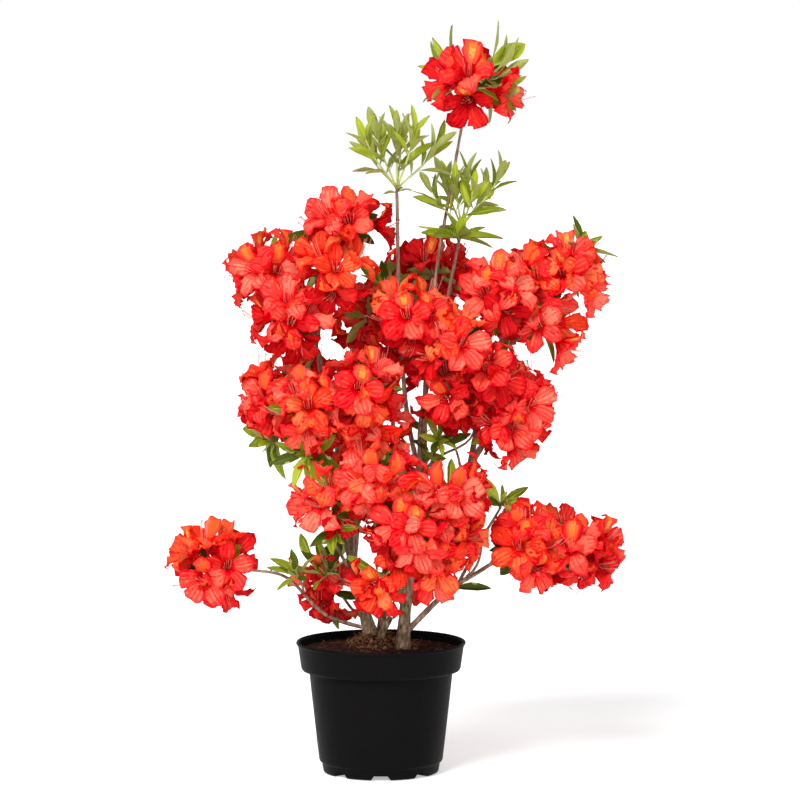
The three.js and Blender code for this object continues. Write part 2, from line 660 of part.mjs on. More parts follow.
// Boughs that leave a stem are made before those that leave another bough.
function orderedByParent(make) {
  const waiting = [];
  return (branch, i, all) => {
    if (curves.has(branch.from[0])) make(branch);
    else waiting.push(branch);
    if (i === all.length - 1) waiting.forEach(make);
  };
}

export default plant;
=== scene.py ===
# %% [markdown]
# # A flame-red azalea in a nursery pot
# This lesson dresses a plain model of a potted shrub. The model's nodes are faceted solids: a pot, its
# filling, a few stems and boughs, and one rough solid for each mass of flowers or leaves. Each is replaced
# here by a piece with the shape and finish of the real thing, at the same place. All sizes are in metres, and
# Z points up.

# %% Load the model
import math

import bpy
import numpy as np
from mathutils import Matrix, Vector, noise


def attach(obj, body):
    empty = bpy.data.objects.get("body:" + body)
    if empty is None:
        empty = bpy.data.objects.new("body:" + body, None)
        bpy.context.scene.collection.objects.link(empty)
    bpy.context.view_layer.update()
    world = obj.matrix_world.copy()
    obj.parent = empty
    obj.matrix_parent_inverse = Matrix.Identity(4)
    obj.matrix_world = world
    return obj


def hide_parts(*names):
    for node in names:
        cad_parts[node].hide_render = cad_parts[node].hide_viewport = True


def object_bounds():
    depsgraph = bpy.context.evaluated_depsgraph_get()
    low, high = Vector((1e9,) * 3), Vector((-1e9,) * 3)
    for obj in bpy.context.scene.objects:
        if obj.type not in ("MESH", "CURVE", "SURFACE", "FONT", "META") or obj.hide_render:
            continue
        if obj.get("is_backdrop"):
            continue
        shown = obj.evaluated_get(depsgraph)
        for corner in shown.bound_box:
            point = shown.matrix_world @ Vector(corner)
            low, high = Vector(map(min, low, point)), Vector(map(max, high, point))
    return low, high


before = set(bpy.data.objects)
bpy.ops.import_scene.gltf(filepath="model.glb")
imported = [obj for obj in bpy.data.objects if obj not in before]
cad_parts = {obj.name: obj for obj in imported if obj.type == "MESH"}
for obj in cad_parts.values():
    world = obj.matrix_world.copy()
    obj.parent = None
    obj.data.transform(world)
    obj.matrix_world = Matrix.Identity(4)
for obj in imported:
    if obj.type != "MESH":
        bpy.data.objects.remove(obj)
MODEL_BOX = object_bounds()
MM = 0.001
bpy.ops.object.select_all(action="DESELECT")
print("model box", [[round(v, 3) for v in corner] for corner in MODEL_BOX])

# %% [markdown]
# ## Camera
# A plant is shown best from a little above its pot with a long lens, which keeps the pot's sides straight. A
# short lens close by would take in as much, but it would swell the flowers that are nearest. The camera
# stands 4.2 m in front of the shrub and looks down by less than five degrees.

# %% Camera
CAMERA_PLACE = (0.0214, -4.2, 0.76)
LENS, SENSOR = 169.6, 36
TILT_DOWN = 4.641

camera_data = bpy.data.cameras.new("camera")
camera_data.lens, camera_data.sensor_width = LENS, SENSOR
camera_data.clip_end = 60
camera = bpy.data.objects.new("camera", camera_data)
camera.location = CAMERA_PLACE
camera.rotation_euler = (math.radians(90 - TILT_DOWN), 0, 0)
bpy.context.scene.collection.objects.link(camera)
bpy.context.scene.camera = camera
print("camera at", tuple(round(v, 3) for v in camera.location))

# %% [markdown]
# ## Surroundings
# The surroundings are those of a white studio: bright in a band round the horizon, where a backdrop stands,
# and about a third as bright overhead. Walls and a ceiling could be modelled for this, but a world whose
# strength follows the height of each ray gives the same light, and there is nothing to keep out of the
# picture.

# %% Surroundings
world = bpy.data.worlds.new("studio")
bpy.context.scene.world = world
world.use_nodes = True
sky = world.node_tree
aim = sky.nodes.new("ShaderNodeTexCoord")
split = sky.nodes.new("ShaderNodeSeparateXYZ")
height = sky.nodes.new("ShaderNodeMath")
height.operation = "ABSOLUTE"
band = sky.nodes.new("ShaderNodeMapRange")
for socket, value in (("From Min", 0.05), ("From Max", 0.2), ("To Min", 1.0), ("To Max", 0.30)):
    band.inputs[socket].default_value = value
sky.links.new(aim.outputs["Generated"], split.inputs[0])
sky.links.new(split.outputs["Z"], height.inputs[0])
sky.links.new(height.outputs[0], band.inputs["Value"])
sky.links.new(band.outputs[0], sky.nodes["Background"].inputs["Strength"])
sky.nodes["Background"].inputs["Color"].default_value = (1, 1, 1, 1)
bpy.context.scene.view_settings.view_transform = "Standard"
print("world", world.name, "with", len(sky.nodes), "nodes")

# %% [markdown]
# ## Lamps
# A broad soft key light from the upper left gives the petals their form. A weak one from the right opens its
# shadows, a third from behind lights the backs of the heads, and a square lamp above the camera lifts what
# faces it. The first three are suns, because parallel light treats the whole plant alike, wherever its lamp
# stands.


# %% Lamps
def add_sun(name, towards, strength, softness):
    """Parallel light along `towards`, from a disc `softness` degrees wide."""
    data = bpy.data.lights.new(name, "SUN")
    data.energy, data.angle = strength, math.radians(softness)
    lamp = bpy.data.objects.new(name, data)
    lamp.rotation_euler = Vector(towards).to_track_quat("-Z", "Y").to_euler()
    bpy.context.scene.collection.objects.link(lamp)
    return lamp


add_sun("key", (0.42, 0.85, -0.85), 3.0, 24)
add_sun("fill", (-0.6, 0.8, -0.4), 0.4, 50)
add_sun("back", (-0.2, -0.9, -0.7), 0.5, 70)

FRONT_SIZE, FRONT_WATTS = 0.9, 26
FRONT_PLACE, FRONT_TILT = (0.1, -3.6, 1.1), 78
front = bpy.data.lights.new("front", "AREA")
front.size, front.energy = FRONT_SIZE, FRONT_WATTS
front_lamp = bpy.data.objects.new("front", front)
front_lamp.location = FRONT_PLACE
front_lamp.rotation_euler = (math.radians(FRONT_TILT), 0, 0)
bpy.context.scene.collection.objects.link(front_lamp)

# %% [markdown]
# ## A small language for materials
# A material is a graph of nodes, which could be wired by hand in the shader editor. In a script, sums are
# easier to read as sums. `Field` wraps one socket and gives it + * and **, each of which adds a Math node.
# `Paint` builds one material: its method `node` adds any other node from its type, its settings and the
# values or links of its sockets.


# %% Fields
class Field:
    """One output socket of a material's graph, with arithmetic."""

    def __init__(self, paint, socket):
        self.paint, self.socket = paint, socket

    def join(self, operation, first, second):
        return self.paint.node("ShaderNodeMath", {"operation": operation}, {0: first, 1: second})

    def __add__(self, other):
        return self.join("ADD", self, other)

    def __radd__(self, other):
        return self.join("ADD", other, self)

    def __mul__(self, other):
        return self.join("MULTIPLY", self, other)

    def __rmul__(self, other):
        return self.join("MULTIPLY", other, self)

    def __pow__(self, other):
        return self.join("POWER", self, other)


# %% Paints
class Paint:
    """One material, built node by node on a Principled shader."""

    def __init__(self, name, **plain):
        self.material = bpy.data.materials.new(name)
        self.material.use_nodes = True
        self.tree = self.material.node_tree
        self.shader = self.tree.nodes["Principled BSDF"]
        self.output = self.tree.nodes["Material Output"]
        for socket, value in plain.items():
            self.set(self.shader.inputs[socket.replace("_", " ")], value)

    def set(self, socket, value):
        if isinstance(value, Field):
            self.tree.links.new(value.socket, socket)
        elif isinstance(value, tuple) and len(value) == 3 and socket.type == "RGBA":
            socket.default_value = (*value, 1)
        else:
            socket.default_value = value

    def node(self, kind, settings=None, sockets=None, output=0):
        made = self.tree.nodes.new(kind)
        for key, value in (settings or {}).items():
            if key == "stops":
                ramp = made.color_ramp
                while len(ramp.elements) < len(value):
                    ramp.elements.new(0.5)
                for element, (position, color) in zip(ramp.elements, value):
                    element.position, element.color = position, (*color, 1)
            else:
                setattr(made, key, value)
        for key, value in (sockets or {}).items():
            self.set(made.inputs[key], value)
        return Field(self, made.outputs[output])

    def place(self, scale=(1, 1, 1)):
        """Object coordinates, stretched by `scale`."""
        where = self.node("ShaderNodeTexCoord", output=3)
        return self.node("ShaderNodeMapping", {}, {"Vector": where, "Scale": scale})

    def grain(self, size, detail=3.0, roughness=0.5, scale=(1, 1, 1)):
        """Noise from 0 to 1 whose blotches are about `size` metres across."""
        sockets = {"Vector": self.place(scale), "Scale": 1 / size, "Detail": detail, "Roughness": roughness}
        return self.node("ShaderNodeTexNoise", {}, sockets)

    def ramp(self, field, *stops):
        return self.node("ShaderNodeValToRGB", {"stops": stops}, {"Fac": field})

    def relief(self, field, height):
        """Bump of `height` metres, straight into the shader's normal."""
        bump = self.node("ShaderNodeBump", {}, {"Height": field, "Distance": height})
        self.set(self.shader.inputs["Normal"], bump)

    def use(self, **fields):
        for socket, value in fields.items():
            self.set(self.shader.inputs[socket.replace("_", " ")], value)
        return self.material

    def let_light_through(self, color, share):
        """Mixes in light that passes through from behind, as in a petal or a thin leaf."""
        through = self.node("ShaderNodeBsdfTranslucent", {}, {"Color": color})
        mixed = self.tree.nodes.new("ShaderNodeMixShader")
        mixed.inputs[0].default_value = share
        self.tree.links.new(self.shader.outputs[0], mixed.inputs[1])
        self.tree.links.new(through.socket, mixed.inputs[2])
        self.tree.links.new(mixed.outputs[0], self.output.inputs["Surface"])
        return self.material


# %% [markdown]
# ## The floor
# The floor is only there to stand on, so it is a plain white disc, wide enough to have no edge in view. A
# little light of its own keeps it as white as its surroundings. It is declared as stage, and is not part of
# the object. It lies just under the pot, because two surfaces at the same height would flicker.

# %% Floor
FLOOR_RADIUS, FLOOR_DROP, FLOOR_GLOW = 30, 0.0004, 0.4

bpy.ops.mesh.primitive_circle_add(
    vertices=96, radius=FLOOR_RADIUS, fill_type="NGON", location=(0, 0, -FLOOR_DROP)
)
floor = bpy.context.object
floor.name = "floor"
floor_paint = Paint("floor_white", Roughness=0.9, Base_Color=(0.93, 0.93, 0.93))
floor_paint.use(Emission_Color=(1, 1, 1), Emission_Strength=FLOOR_GLOW)
floor.data.materials.append(floor_paint.material)
floor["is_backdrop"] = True
bpy.ops.object.select_all(action="DESELECT")
print("floor of", len(floor.data.vertices), "corners")

# %% [markdown]
# ## The pot
# A nursery pot is blown or pressed from thin black polypropylene. Its wall leans outwards so that pots nest,
# a deep collar stiffens the mouth, and a thin lip runs round the edge. Its profile could be drawn and spun,
# but a spun mesh has a seam to merge. Here one ring of edges is extruded from the middle of the underside,
# out, up the outside, over the lip and down the inside, so it is closed from the start.

# %% Pot outline
POT_FOOT = [
    (10, 0), (40, 0), (62, 0), (64.2, 0.4), (65.3, 1.6), (65.8, 5), (66.4, 10.4), (67.2, 11.8), (68.9, 12.7),
    (69.5, 14), (69.8, 16),
]
POT_WALL = [(72.6, 40), (75.3, 64), (78.0, 88), (80.3, 110)]
POT_COLLAR = [
    (80.6, 113.5), (81.0, 116.0), (82.5, 116.8), (84.2, 115.6), (86.4, 115.0), (88.4, 115.7), (89.5, 117.3),
    (90.0, 119.5), (91.3, 129), (92.6, 138), (93.3, 142.6),
]
POT_LIP = [
    (93.6, 143.6), (94.6, 144.1), (95.2, 144.9), (95.3, 146), (94.9, 147), (94.2, 147.4), (93.3, 147.1),
    (92.6, 146.2), (92.3, 144),
]
POT_INSIDE = [(91.6, 139), (91.0, 134), (88.0, 126), (60, 124), (20, 124)]
POT_SIDES = 144


def extrude_ring(profile, sides):
    """A circle extruded through (radius, height) pairs in millimetres, and closed at both ends."""
    radius, height = profile[0]
    bpy.ops.mesh.primitive_circle_add(
        vertices=sides, radius=radius * MM, fill_type="NOTHING", location=(0, 0, height * MM)
    )
    made = bpy.context.object
    bpy.ops.object.transform_apply(location=True)
    bpy.ops.object.mode_set(mode="EDIT")
    bpy.ops.mesh.select_all(action="SELECT")
    bpy.ops.mesh.edge_face_add()
    bpy.ops.mesh.select_all(action="SELECT")
    bpy.ops.mesh.extrude_region_move(TRANSFORM_OT_translate={"value": (0, 0, 0)})
    for (r0, z0), (r1, z1) in zip(profile, profile[1:]):
        bpy.ops.transform.translate(value=(0, 0, (z1 - z0) * MM))
        bpy.ops.transform.resize(value=(r1 / r0, r1 / r0, 1), center_override=(0, 0, z1 * MM))
        if (r1, z1) != profile[-1]:
            bpy.ops.mesh.extrude_region_move(TRANSFORM_OT_translate={"value": (0, 0, 0)})
    bpy.ops.mesh.select_all(action="SELECT")
    bpy.ops.mesh.normals_make_consistent(inside=False)
    bpy.ops.object.mode_set(mode="OBJECT")
    return made


pot = extrude_ring([*POT_FOOT, *POT_WALL, *POT_COLLAR, *POT_LIP, *POT_INSIDE], POT_SIDES)
pot.name = "nursery_pot"
print("pot faces", len(pot.data.polygons))

# %% [markdown]
# ## The drainage recesses
# Eight recesses under the pot's edge let water run out where the pot stands on flat ground. Each has a flat
# top and cheeks that swing outwards. They could be inset and pushed in face by face, but then the ring's
# edges would have to match them. A rounded block is made once instead, copied round the edge, and cut out
# with a Boolean.


# %% Recess block
RECESSES = 8
RECESS_SIZE = (14 * MM, 36 * MM, 13 * MM)
RECESS_REACH = 55 * MM
CHEEK_FLARE = 2.2
INNER_ROOF = 3 * MM


def recess_block():
    """A block with the recess's outline, from outside the pot to well under it, where its roof is lower."""
    bpy.ops.mesh.primitive_cube_add(size=1, location=(0, -RECESS_REACH, 0.5 * MM))
    block = bpy.context.object
    block.scale = RECESS_SIZE
    bpy.ops.object.transform_apply(location=True, rotation=True, scale=True)
    for vertex in block.data.vertices:
        if vertex.co.z < 0:
            vertex.co.x *= CHEEK_FLARE
        elif vertex.co.y > -RECESS_REACH:
            vertex.co.z = INNER_ROOF
    bpy.ops.object.mode_set(mode="EDIT")
    bpy.ops.mesh.select_all(action="SELECT")
    bpy.ops.mesh.bevel(offset=1.4 * MM, segments=3, affect="EDGES")
    bpy.ops.object.mode_set(mode="OBJECT")
    return block


first = recess_block()
print("a recess block has", len(first.data.polygons), "faces")

# %% Drainage recesses
blocks = [first]
for turn in range(1, RECESSES):
    copy = first.copy()
    copy.data = first.data.copy()
    copy.data.transform(Matrix.Rotation(turn * 2 * math.pi / RECESSES, 4, "Z"))
    bpy.context.scene.collection.objects.link(copy)
    blocks.append(copy)
bpy.ops.object.select_all(action="DESELECT")
for block in blocks:
    block.select_set(True)
bpy.context.view_layer.objects.active = first
bpy.ops.object.join()
bpy.ops.object.select_all(action="DESELECT")
pot.select_set(True)
bpy.context.view_layer.objects.active = pot
cut = pot.modifiers.new("recesses", "BOOLEAN")
cut.object, cut.operation, cut.solver = first, "DIFFERENCE", "EXACT"
bpy.ops.object.modifier_apply(modifier="recesses")
bpy.data.objects.remove(first)
bpy.ops.object.shade_smooth_by_angle(angle=math.radians(40))
print("pot faces with recesses", len(pot.data.polygons))

# %% [markdown]
# ## Black polypropylene
# The plastic is almost black and satin. Handling leaves faint upright scuffs, and compost dust sits in a thin
# veil of blotches. An image of scratches would do, but noise that is stretched upright has no seam and stays
# sharp at any distance. The scuffs change the roughness, and the dust lifts the colour a little.

# %% Pot finish
plastic = Paint("black_polypropylene", Specular_IOR_Level=0.03)
scuff = plastic.grain(0.004, 4, 0.6, (1, 1, 0.12))
dust = plastic.grain(0.012, 6, 0.7) ** 3.0
pores = plastic.grain(0.0009, 2, 0.5)
veil = plastic.ramp(
    dust, (0.0, (0.0036, 0.0034, 0.0034)), (0.5, (0.0046, 0.0042, 0.0041)), (1.0, (0.018, 0.014, 0.011))
)
plastic.use(Base_Color=veil, Roughness=0.36 + scuff * 0.2)
plastic.relief(pores * 0.5 + scuff, 0.00006)
pot.data.materials.append(plastic.material)
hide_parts("pot")
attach(pot, "root")
print("pot finish has", len(plastic.tree.nodes), "nodes")

# %% [markdown]
# ## Numbers that repeat
# The plant is grown by rule. Blender's own random modifiers could scatter flowers, but they wouldn't put them
# where the model has them, so each draw comes from a seeded stream, which is also the same each time. The
# streams, the way that a direction is written as an azimuth and an elevation, and the golden angle by which a
# plant sets one leaf after another are the model's own.

# %% Seeded numbers
GOLDEN_ANGLE = math.radians(137.508)


def seeded(seed):
    """A stream of numbers from 0 to 1, as a function without arguments."""
    state = seed & 0xFFFFFFFF

    def draw():
        nonlocal state
        state = (state + 0x6D2B79F5) & 0xFFFFFFFF
        mixed = ((state ^ (state >> 15)) * (state | 1)) & 0xFFFFFFFF
        mixed ^= (mixed + (((mixed ^ (mixed >> 7)) * (mixed | 61)) & 0xFFFFFFFF)) & 0xFFFFFFFF
        return ((mixed ^ (mixed >> 14)) & 0xFFFFFFFF) / 4294967296

    return draw


draw = seeded(20)
print("first draws", [round(draw(), 4) for _ in range(3)])


# %% Directions
def unit(v):
    v = np.asarray(v, float)
    return v / max(np.linalg.norm(v), 1e-12)


def facing(azimuth, elevation):
    """Azimuth 0 faces the front, which is -Y, and 90 the right."""
    a, e = math.radians(azimuth), math.radians(elevation)
    return np.array([math.sin(a) * math.cos(e), -math.cos(a) * math.cos(e), math.sin(e)])


def standing(way, up=(0, 0, 1)):
    """A 3 by 3 matrix whose third column is `way` and whose second is as near to `up` as it goes."""
    z = unit(way)
    x = np.cross(up, z)
    if np.linalg.norm(x) < 1e-3:
        x = np.cross((1, 0, 0), z)
    x = unit(x)
    return np.column_stack([x, np.cross(z, x), z])


def spread(axis, count, widest, turn):
    """Directions by the golden angle, from the axis itself out to `widest` degrees off it."""
    basis = standing(axis)
    cap = 1 - math.cos(math.radians(widest))
    for i in range(count):
        cosine = 1 - (cap * (i + 0.4)) / count if i else 1.0
        sine = math.sqrt(1 - cosine * cosine)
        angle = turn + i * GOLDEN_ANGLE
        yield basis @ np.array([sine * math.cos(angle), sine * math.sin(angle), cosine])


def whorl(axis, count, lean, turn):
    """Directions of a whorl of leaves, all about `lean` degrees off the axis."""
    basis = standing(axis)
    for i in range(count):
        angle = turn + i * GOLDEN_ANGLE
        off = math.radians(lean * (0.75 + 0.5 * ((i * 0.618) % 1)))
        sine = math.sin(off)
        yield basis @ np.array([sine * math.cos(angle), sine * math.sin(angle), math.cos(off)])


print("azimuth 90 looks along", facing(90, 0).round(2))

# %% [markdown]
# ## Curves
# A limb follows a smooth curve through a few points. Blender's curve objects could carry it, but the twigs,
# leaves and spurs need places and directions along it as numbers, which a short class gives. The curve is the
# centripetal Catmull-Rom curve, which passes through all of its points without loops. A twig follows a Bezier
# curve, which leaves and arrives in given directions.


# %% Limb curves
class Limb:
    """A curve through points in millimetres, with the radii of its two ends."""

    def __init__(self, points, radii, flare=0.0):
        self.points = [np.asarray(p, float) for p in points]
        self.radii, self.flare = radii, flare

    def at(self, share):
        p = self.points
        spot = (len(p) - 1) * min(max(share, 0.0), 1.0)
        i = min(int(spot), len(p) - 2)
        w = spot - i
        a = p[i - 1] if i > 0 else 2 * p[0] - p[1]
        b, c = p[i], p[i + 1]
        d = p[i + 2] if i + 2 < len(p) else 2 * p[-1] - p[-2]
        gaps = [max(np.linalg.norm(v - u), 1e-6) ** 0.5 for u, v in ((a, b), (b, c), (c, d))]
        t1 = ((b - a) / gaps[0] - (c - a) / (gaps[0] + gaps[1]) + (c - b) / gaps[1]) * gaps[1]
        t2 = ((c - b) / gaps[1] - (d - b) / (gaps[1] + gaps[2]) + (d - c) / gaps[2]) * gaps[1]
        return b + t1 * w + (-3 * b + 3 * c - 2 * t1 - t2) * w**2 + (2 * b - 2 * c + t1 + t2) * w**3

    def along(self, share):
        return unit(self.at(min(share + 1e-4, 1)) - self.at(max(share - 1e-4, 0)))

    def radius(self, share):
        return self.radii[0] + (self.radii[1] - self.radii[0]) * share + self.flare * math.exp(-share * 14)

    def length(self):
        spots = np.array([self.at(t) for t in np.linspace(0, 1, 30)])
        return float(np.linalg.norm(np.diff(spots, axis=0), axis=1).sum())


class Twig(Limb):
    """A Bezier curve that leaves its start and reaches its end in given directions."""

    def __init__(self, start, leave, end, arrive, radii):
        start, end = np.asarray(start, float), np.asarray(end, float)
        reach = np.linalg.norm(end - start) * 0.4
        super().__init__([start, start + unit(leave) * reach, end - unit(arrive) * reach, end], radii)

    def at(self, t):
        a, b, c, d = self.points
        return a * (1 - t) ** 3 + 3 * b * t * (1 - t) ** 2 + 3 * c * t * t * (1 - t) + d * t**3


trial = Twig((0, 0, 0), (0, 0, 1), (30, 0, 40), (1, 0, 0), (2, 1))
print("a bent twig over 50 mm is", round(trial.length(), 1), "mm long")

# %% [markdown]
# ## The plan of the shrub
# These are the model's own sizes: three stems and a cut stub, then one row for each bough and the mass at its
# end. A row says where the bough starts, which points it passes, where its tip is and how thick it is. Then
# come the heads of flowers, each a place, an azimuth and an elevation, and the shoots. A shoot adds how many
# leaves and stalks it has, and may add how far its leaves lean off its axis and how long they are. Some
# boughs start on others, so a row waits until its parent has grown.

# %% Stems and branches
STEMS = {
    "stem_left": Limb([(-10, 10, 149), (-28, 5, 216), (-40, 0, 290), (-48, 0, 380)], (6.7, 4.4), 2.6),
    "stem_right": Limb([(24, -15, 141), (30, -12, 207), (42, -8, 275), (50, -5, 345)], (7.0, 4.4), 2.6),
    "stem_back": Limb([(0, 24, 148), (4, 30, 200), (6, 44, 250), (10, 56, 300)], (4.6, 3.4), 1.6),
    "stem_stub": Limb([(0, -4, 149), (2, -5, 158), (6, -6, 166), (11, -7, 175)], (4.2, 3.4), 0.8),
}
BRANCHES = {
    "top": (("stem_right", 0.97), [(50, 6, 440), (62, 10, 560)], (92, 3, 735), (3.0, 1.5),
            [(106, -10, 767, 4, 4)],
            [(105, 12, 785, 170, 40, 10, 0, 78, 56)]),
    "shoot_upper_left": (("stem_right", 0.88), [(30, -14, 400), (21, -18, 520)], (18, -10, 646), (3.0, 1.9),
                         [],
                         [(18, -10, 655, 0, 90, 5, 6, 54, 55)]),
    "shoot_upper_right": (("bough_top", 0.28), [(68, 6, 500)], (86, 10, 590), (2.5, 1.8),
                          [],
                          [(90, 10, 612, 50, 80, 4, 6, 54, 50), (86, -2, 600, 0, 75, 7, 0, 80, 42)]),
    "upper_left": (("stem_left", 0.98), [(-58, -4, 430)], (-70, -16, 474), (3.6, 2.4),
                   [(-36, -20, 612, 10, 20), (-121, -15, 565, -50, 15), (-51, -60, 562, 0, 12),
                    (-97, -52, 513, -10, -12), (-64, 4, 604, 25, 20)],
                   []),
    "upper_right": (("bough_right", 0.62), [(108, 8, 385), (124, 4, 430)], (133, -4, 468), (3.6, 2.4),
                    [(130, -46, 536, -12, 4), (172, -8, 548, 5, 20), (204, -4, 556, 40, 15),
                     (177, -20, 502, 75, 15)],
                    [(222, 16, 584, 65, 50, 6, 0, 62, 46)]),
    "centre": (("stem_right", 0.8), [(44, -24, 390)], (52, -40, 446), (3.2, 2.2),
               [(35, -78, 516, -8, 14), (80, -82, 488, 15, -5), (76, -50, 436, 5, -20)],
               []),
    "right": (("stem_right", 0.55), [(92, -6, 335)], (122, -22, 384), (5.2, 3.0),
              [(116, -60, 454, -8, 8), (148, -38, 416, 35, -4), (138, -36, 398, 12, -18)],
              []),
    "left": (("stem_left", 0.82), [(-62, -14, 360)], (-82, -26, 384), (2.8, 1.9),
             [(-114, -30, 423, -50, 4), (-80, -70, 414, 0, 8)],
             [(-80, -70, 367, -10, 5, 7, 0, 66, 46), (-116, -25, 386, -60, -35, 5, 0)]),
    "centre_left": (("stem_left", 0.38), [(-24, -10, 300)], (-20, -46, 396), (2.4, 1.7),
                    [(-20, -88, 437, 0, 6), (-8, -60, 392, 5, -15)],
                    []),
    "front": (("stem_right", 0.25), [(34, -30, 225)], (32, -58, 262), (3.8, 2.6),
              [(0, -104, 340, -18, 20), (74, -96, 324, 25, 8), (72, -84, 282, 45, -6), (32, -122, 292, 0, 4),
               (4, -92, 232, -18, -22), (54, -84, 248, 25, -20)],
              []),
    "front_left": (("stem_left", 0.3), [(-44, -14, 246)], (-60, -34, 276), (2.1, 1.5),
                   [(-56, -62, 315, -25, 0)],
                   [(-50, -72, 284, -15, 5, 4, 0)]),
    "low_left": (("stem_left", 0.1), [(-32, 20, 180)], (-42, 28, 192), (1.9, 1.5),
                 [(-58, 24, 201, -40, -5), (-74, 20, 231, -40, 5)],
                 [(-62, -10, 222, -40, 55, 5, 0)]),
    "far_left": (("stem_left", 0.05), [(-62, -6, 178), (-108, -12, 222)], (-148, -8, 229), (2.4, 1.5),
                 [(-190, -16, 236, -25, 12), (-175, -8, 233, 25, 0)],
                 []),
    "shoot_low_left": (("bough_far_left", 0.5), [], (-90, -20, 220), (1.4, 1.2),
                       [],
                       [(-92, -26, 224, -40, 40, 7, 0)]),
    "far_right": (("stem_right", 0.08), [(77, -20, 208), (111, -25, 230)], (136, -27, 246), (3.4, 1.8),
                  [(166, -30, 266, -12, 12), (219, -15, 250, 40, 5), (196, 24, 254, 150, 10),
                   (159, -36, 253, -10, -8)],
                  []),
    "shoot_right": (("bough_far_right", 0.42), [(112, -8, 262)], (130, -5, 292), (2.0, 1.4),
                    [],
                    [(134, -6, 302, 40, 50, 7, 0, 66, 42)]),
    "shoot_centre": (("stem_right", 0.9), [], (62, -24, 368), (1.6, 1.4),
                     [],
                     [(64, -30, 376, 20, 20, 6, 0)]),
    "back_upper": (("stem_back", 0.96), [(14, 54, 400)], (18, 52, 470), (3.0, 2.0),
                   [(60, 66, 556, 160, 35), (-15, 72, 507, -160, 10), (30, 84, 538, 180, 10),
                    (18, 26, 470, -5, 0)],
                   [(4, 32, 540, -10, 60, 4, 0)]),
    "back_left": (("stem_back", 0.8), [(-30, 66, 330)], (-58, 72, 376), (2.8, 1.9),
                  [(-93, 92, 420, -150, 0), (-88, 80, 530, -140, 15), (-30, 118, 420, 180, 0)],
                  [(-110, 60, 380, -100, -5, 4, 0)]),
    "back_right": (("stem_back", 0.88), [(56, 66, 350)], (96, 70, 392), (3.0, 1.9),
                   [(145, 86, 412, 140, 0), (158, 78, 522, 140, 15), (70, 116, 478, 175, 10)],
                   []),
    "back_low": (("stem_back", 0.35), [(14, 56, 225)], (18, 72, 246), (2.4, 1.8),
                 [(14, 108, 300, 180, 15), (34, 100, 226, 165, -10)],
                 [(-30, 90, 262, -150, 10, 4, 0)]),
}
limbs = dict(STEMS)
waiting = dict(BRANCHES)
while waiting:
    for name, (source, via, tip, radii, _, _) in list(waiting.items()):
        if source[0] in limbs:
            limbs["bough_" + name] = Limb([limbs[source[0]].at(source[1]), *via, tip], radii)
            del waiting[name]
print(len(STEMS), "stems,", len(BRANCHES), "boughs")

# %% [markdown]
# ## Growing meshes from arrays
# Thousands of leaves, petals and twigs are too many for hand modelling, and as objects of their own they
# would slow everything down. So each kind is collected as arrays of points and faces, and becomes one joined
# mesh in a single call. A `Sheaf` does the collecting. Every face carries the number of its finish.


# %% Sheaves
class Sheaf:
    """Collects pieces in millimetres and turns them into one mesh in metres."""

    def __init__(self, name, finishes):
        self.name, self.finishes = name, finishes
        self.points, self.faces, self.kinds, self.count = [], [], [], 0

    def add(self, points, faces, kinds):
        self.points.append(points)
        self.faces += [tuple(int(v) + self.count for v in face) for face in faces]
        self.kinds += [kinds] * len(faces) if isinstance(kinds, int) else list(kinds)
        self.count += len(points)

    def build(self):
        mesh = bpy.data.meshes.new(self.name)
        mesh.from_pydata((np.concatenate(self.points) * MM).tolist(), [], self.faces)
        for finish in self.finishes:
            mesh.materials.append(finish)
        mesh.polygons.foreach_set("material_index", self.kinds)
        mesh.polygons.foreach_set("use_smooth", [True] * len(mesh.polygons))
        mesh.update()
        made = bpy.data.objects.new(self.name, mesh)
        bpy.context.scene.collection.objects.link(made)
        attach(made, "root")
        triangles = sum(len(face) - 2 for face in self.faces)
        print(self.name, len(self.faces), "faces,", triangles, "triangles")
        return made


# %% Tubes
def tube(limb, sides, steps, relief=None):
    """The points and faces of a closed tube round a limb. `relief` adds to its radius."""
    points = []
    for t in np.linspace(0, 1, steps + 1):
        basis = standing(limb.along(t), (0.3, 1, 0.1))
        for j in range(sides):
            angle = 2 * math.pi * j / sides
            radius = limb.radius(t) + (relief(t, angle, limb.at(t)) if relief else 0)
            points.append(limb.at(t) + basis @ np.array([math.cos(angle), math.sin(angle), 0]) * radius)
    points += [limb.at(0), limb.at(1)]
    faces = []
    for i in range(steps):
        for j in range(sides):
            k = (j + 1) % sides
            faces.append((i * sides + j, i * sides + k, (i + 1) * sides + k, (i + 1) * sides + j))
    low, high, last = len(points) - 2, len(points) - 1, steps * sides
    for j in range(sides):
        k = (j + 1) % sides
        faces += [(low, k, j), (high, last + j, last + k)]
    return np.array(points), faces


print("a tube of 6 sides and 4 steps has", len(tube(trial, 6, 4)[1]), "faces")

# %% [markdown]
# ## Bark
# The old stems are grey-brown, with thin lengthwise strips that crack and lift. The young boughs are redder
# and smoother, and the newest stalks are pale green. Both barks run along the limb, so their pattern is
# stretched in Z. A finer mesh could carry all of the relief, but most of it is only as deep as a shadow, so a
# bump is enough for it.

# %% Bark finishes
old_bark = Paint("grey_brown_bark", Specular_IOR_Level=0.2)
strips = old_bark.grain(0.0035, 6, 0.7, (1, 1, 0.3))
lichen = old_bark.grain(0.011, 4, 0.6)
bark_tone = old_bark.ramp(
    strips * 0.75 + lichen * 0.25,
    (0.34, (0.022, 0.012, 0.007)), (0.45, (0.115, 0.074, 0.040)),
    (0.55, (0.25, 0.18, 0.105)), (0.68, (0.50, 0.42, 0.29)),
)
old_bark.use(Base_Color=bark_tone, Roughness=0.72 + lichen * 0.25)
old_bark.relief(strips, 0.0020)

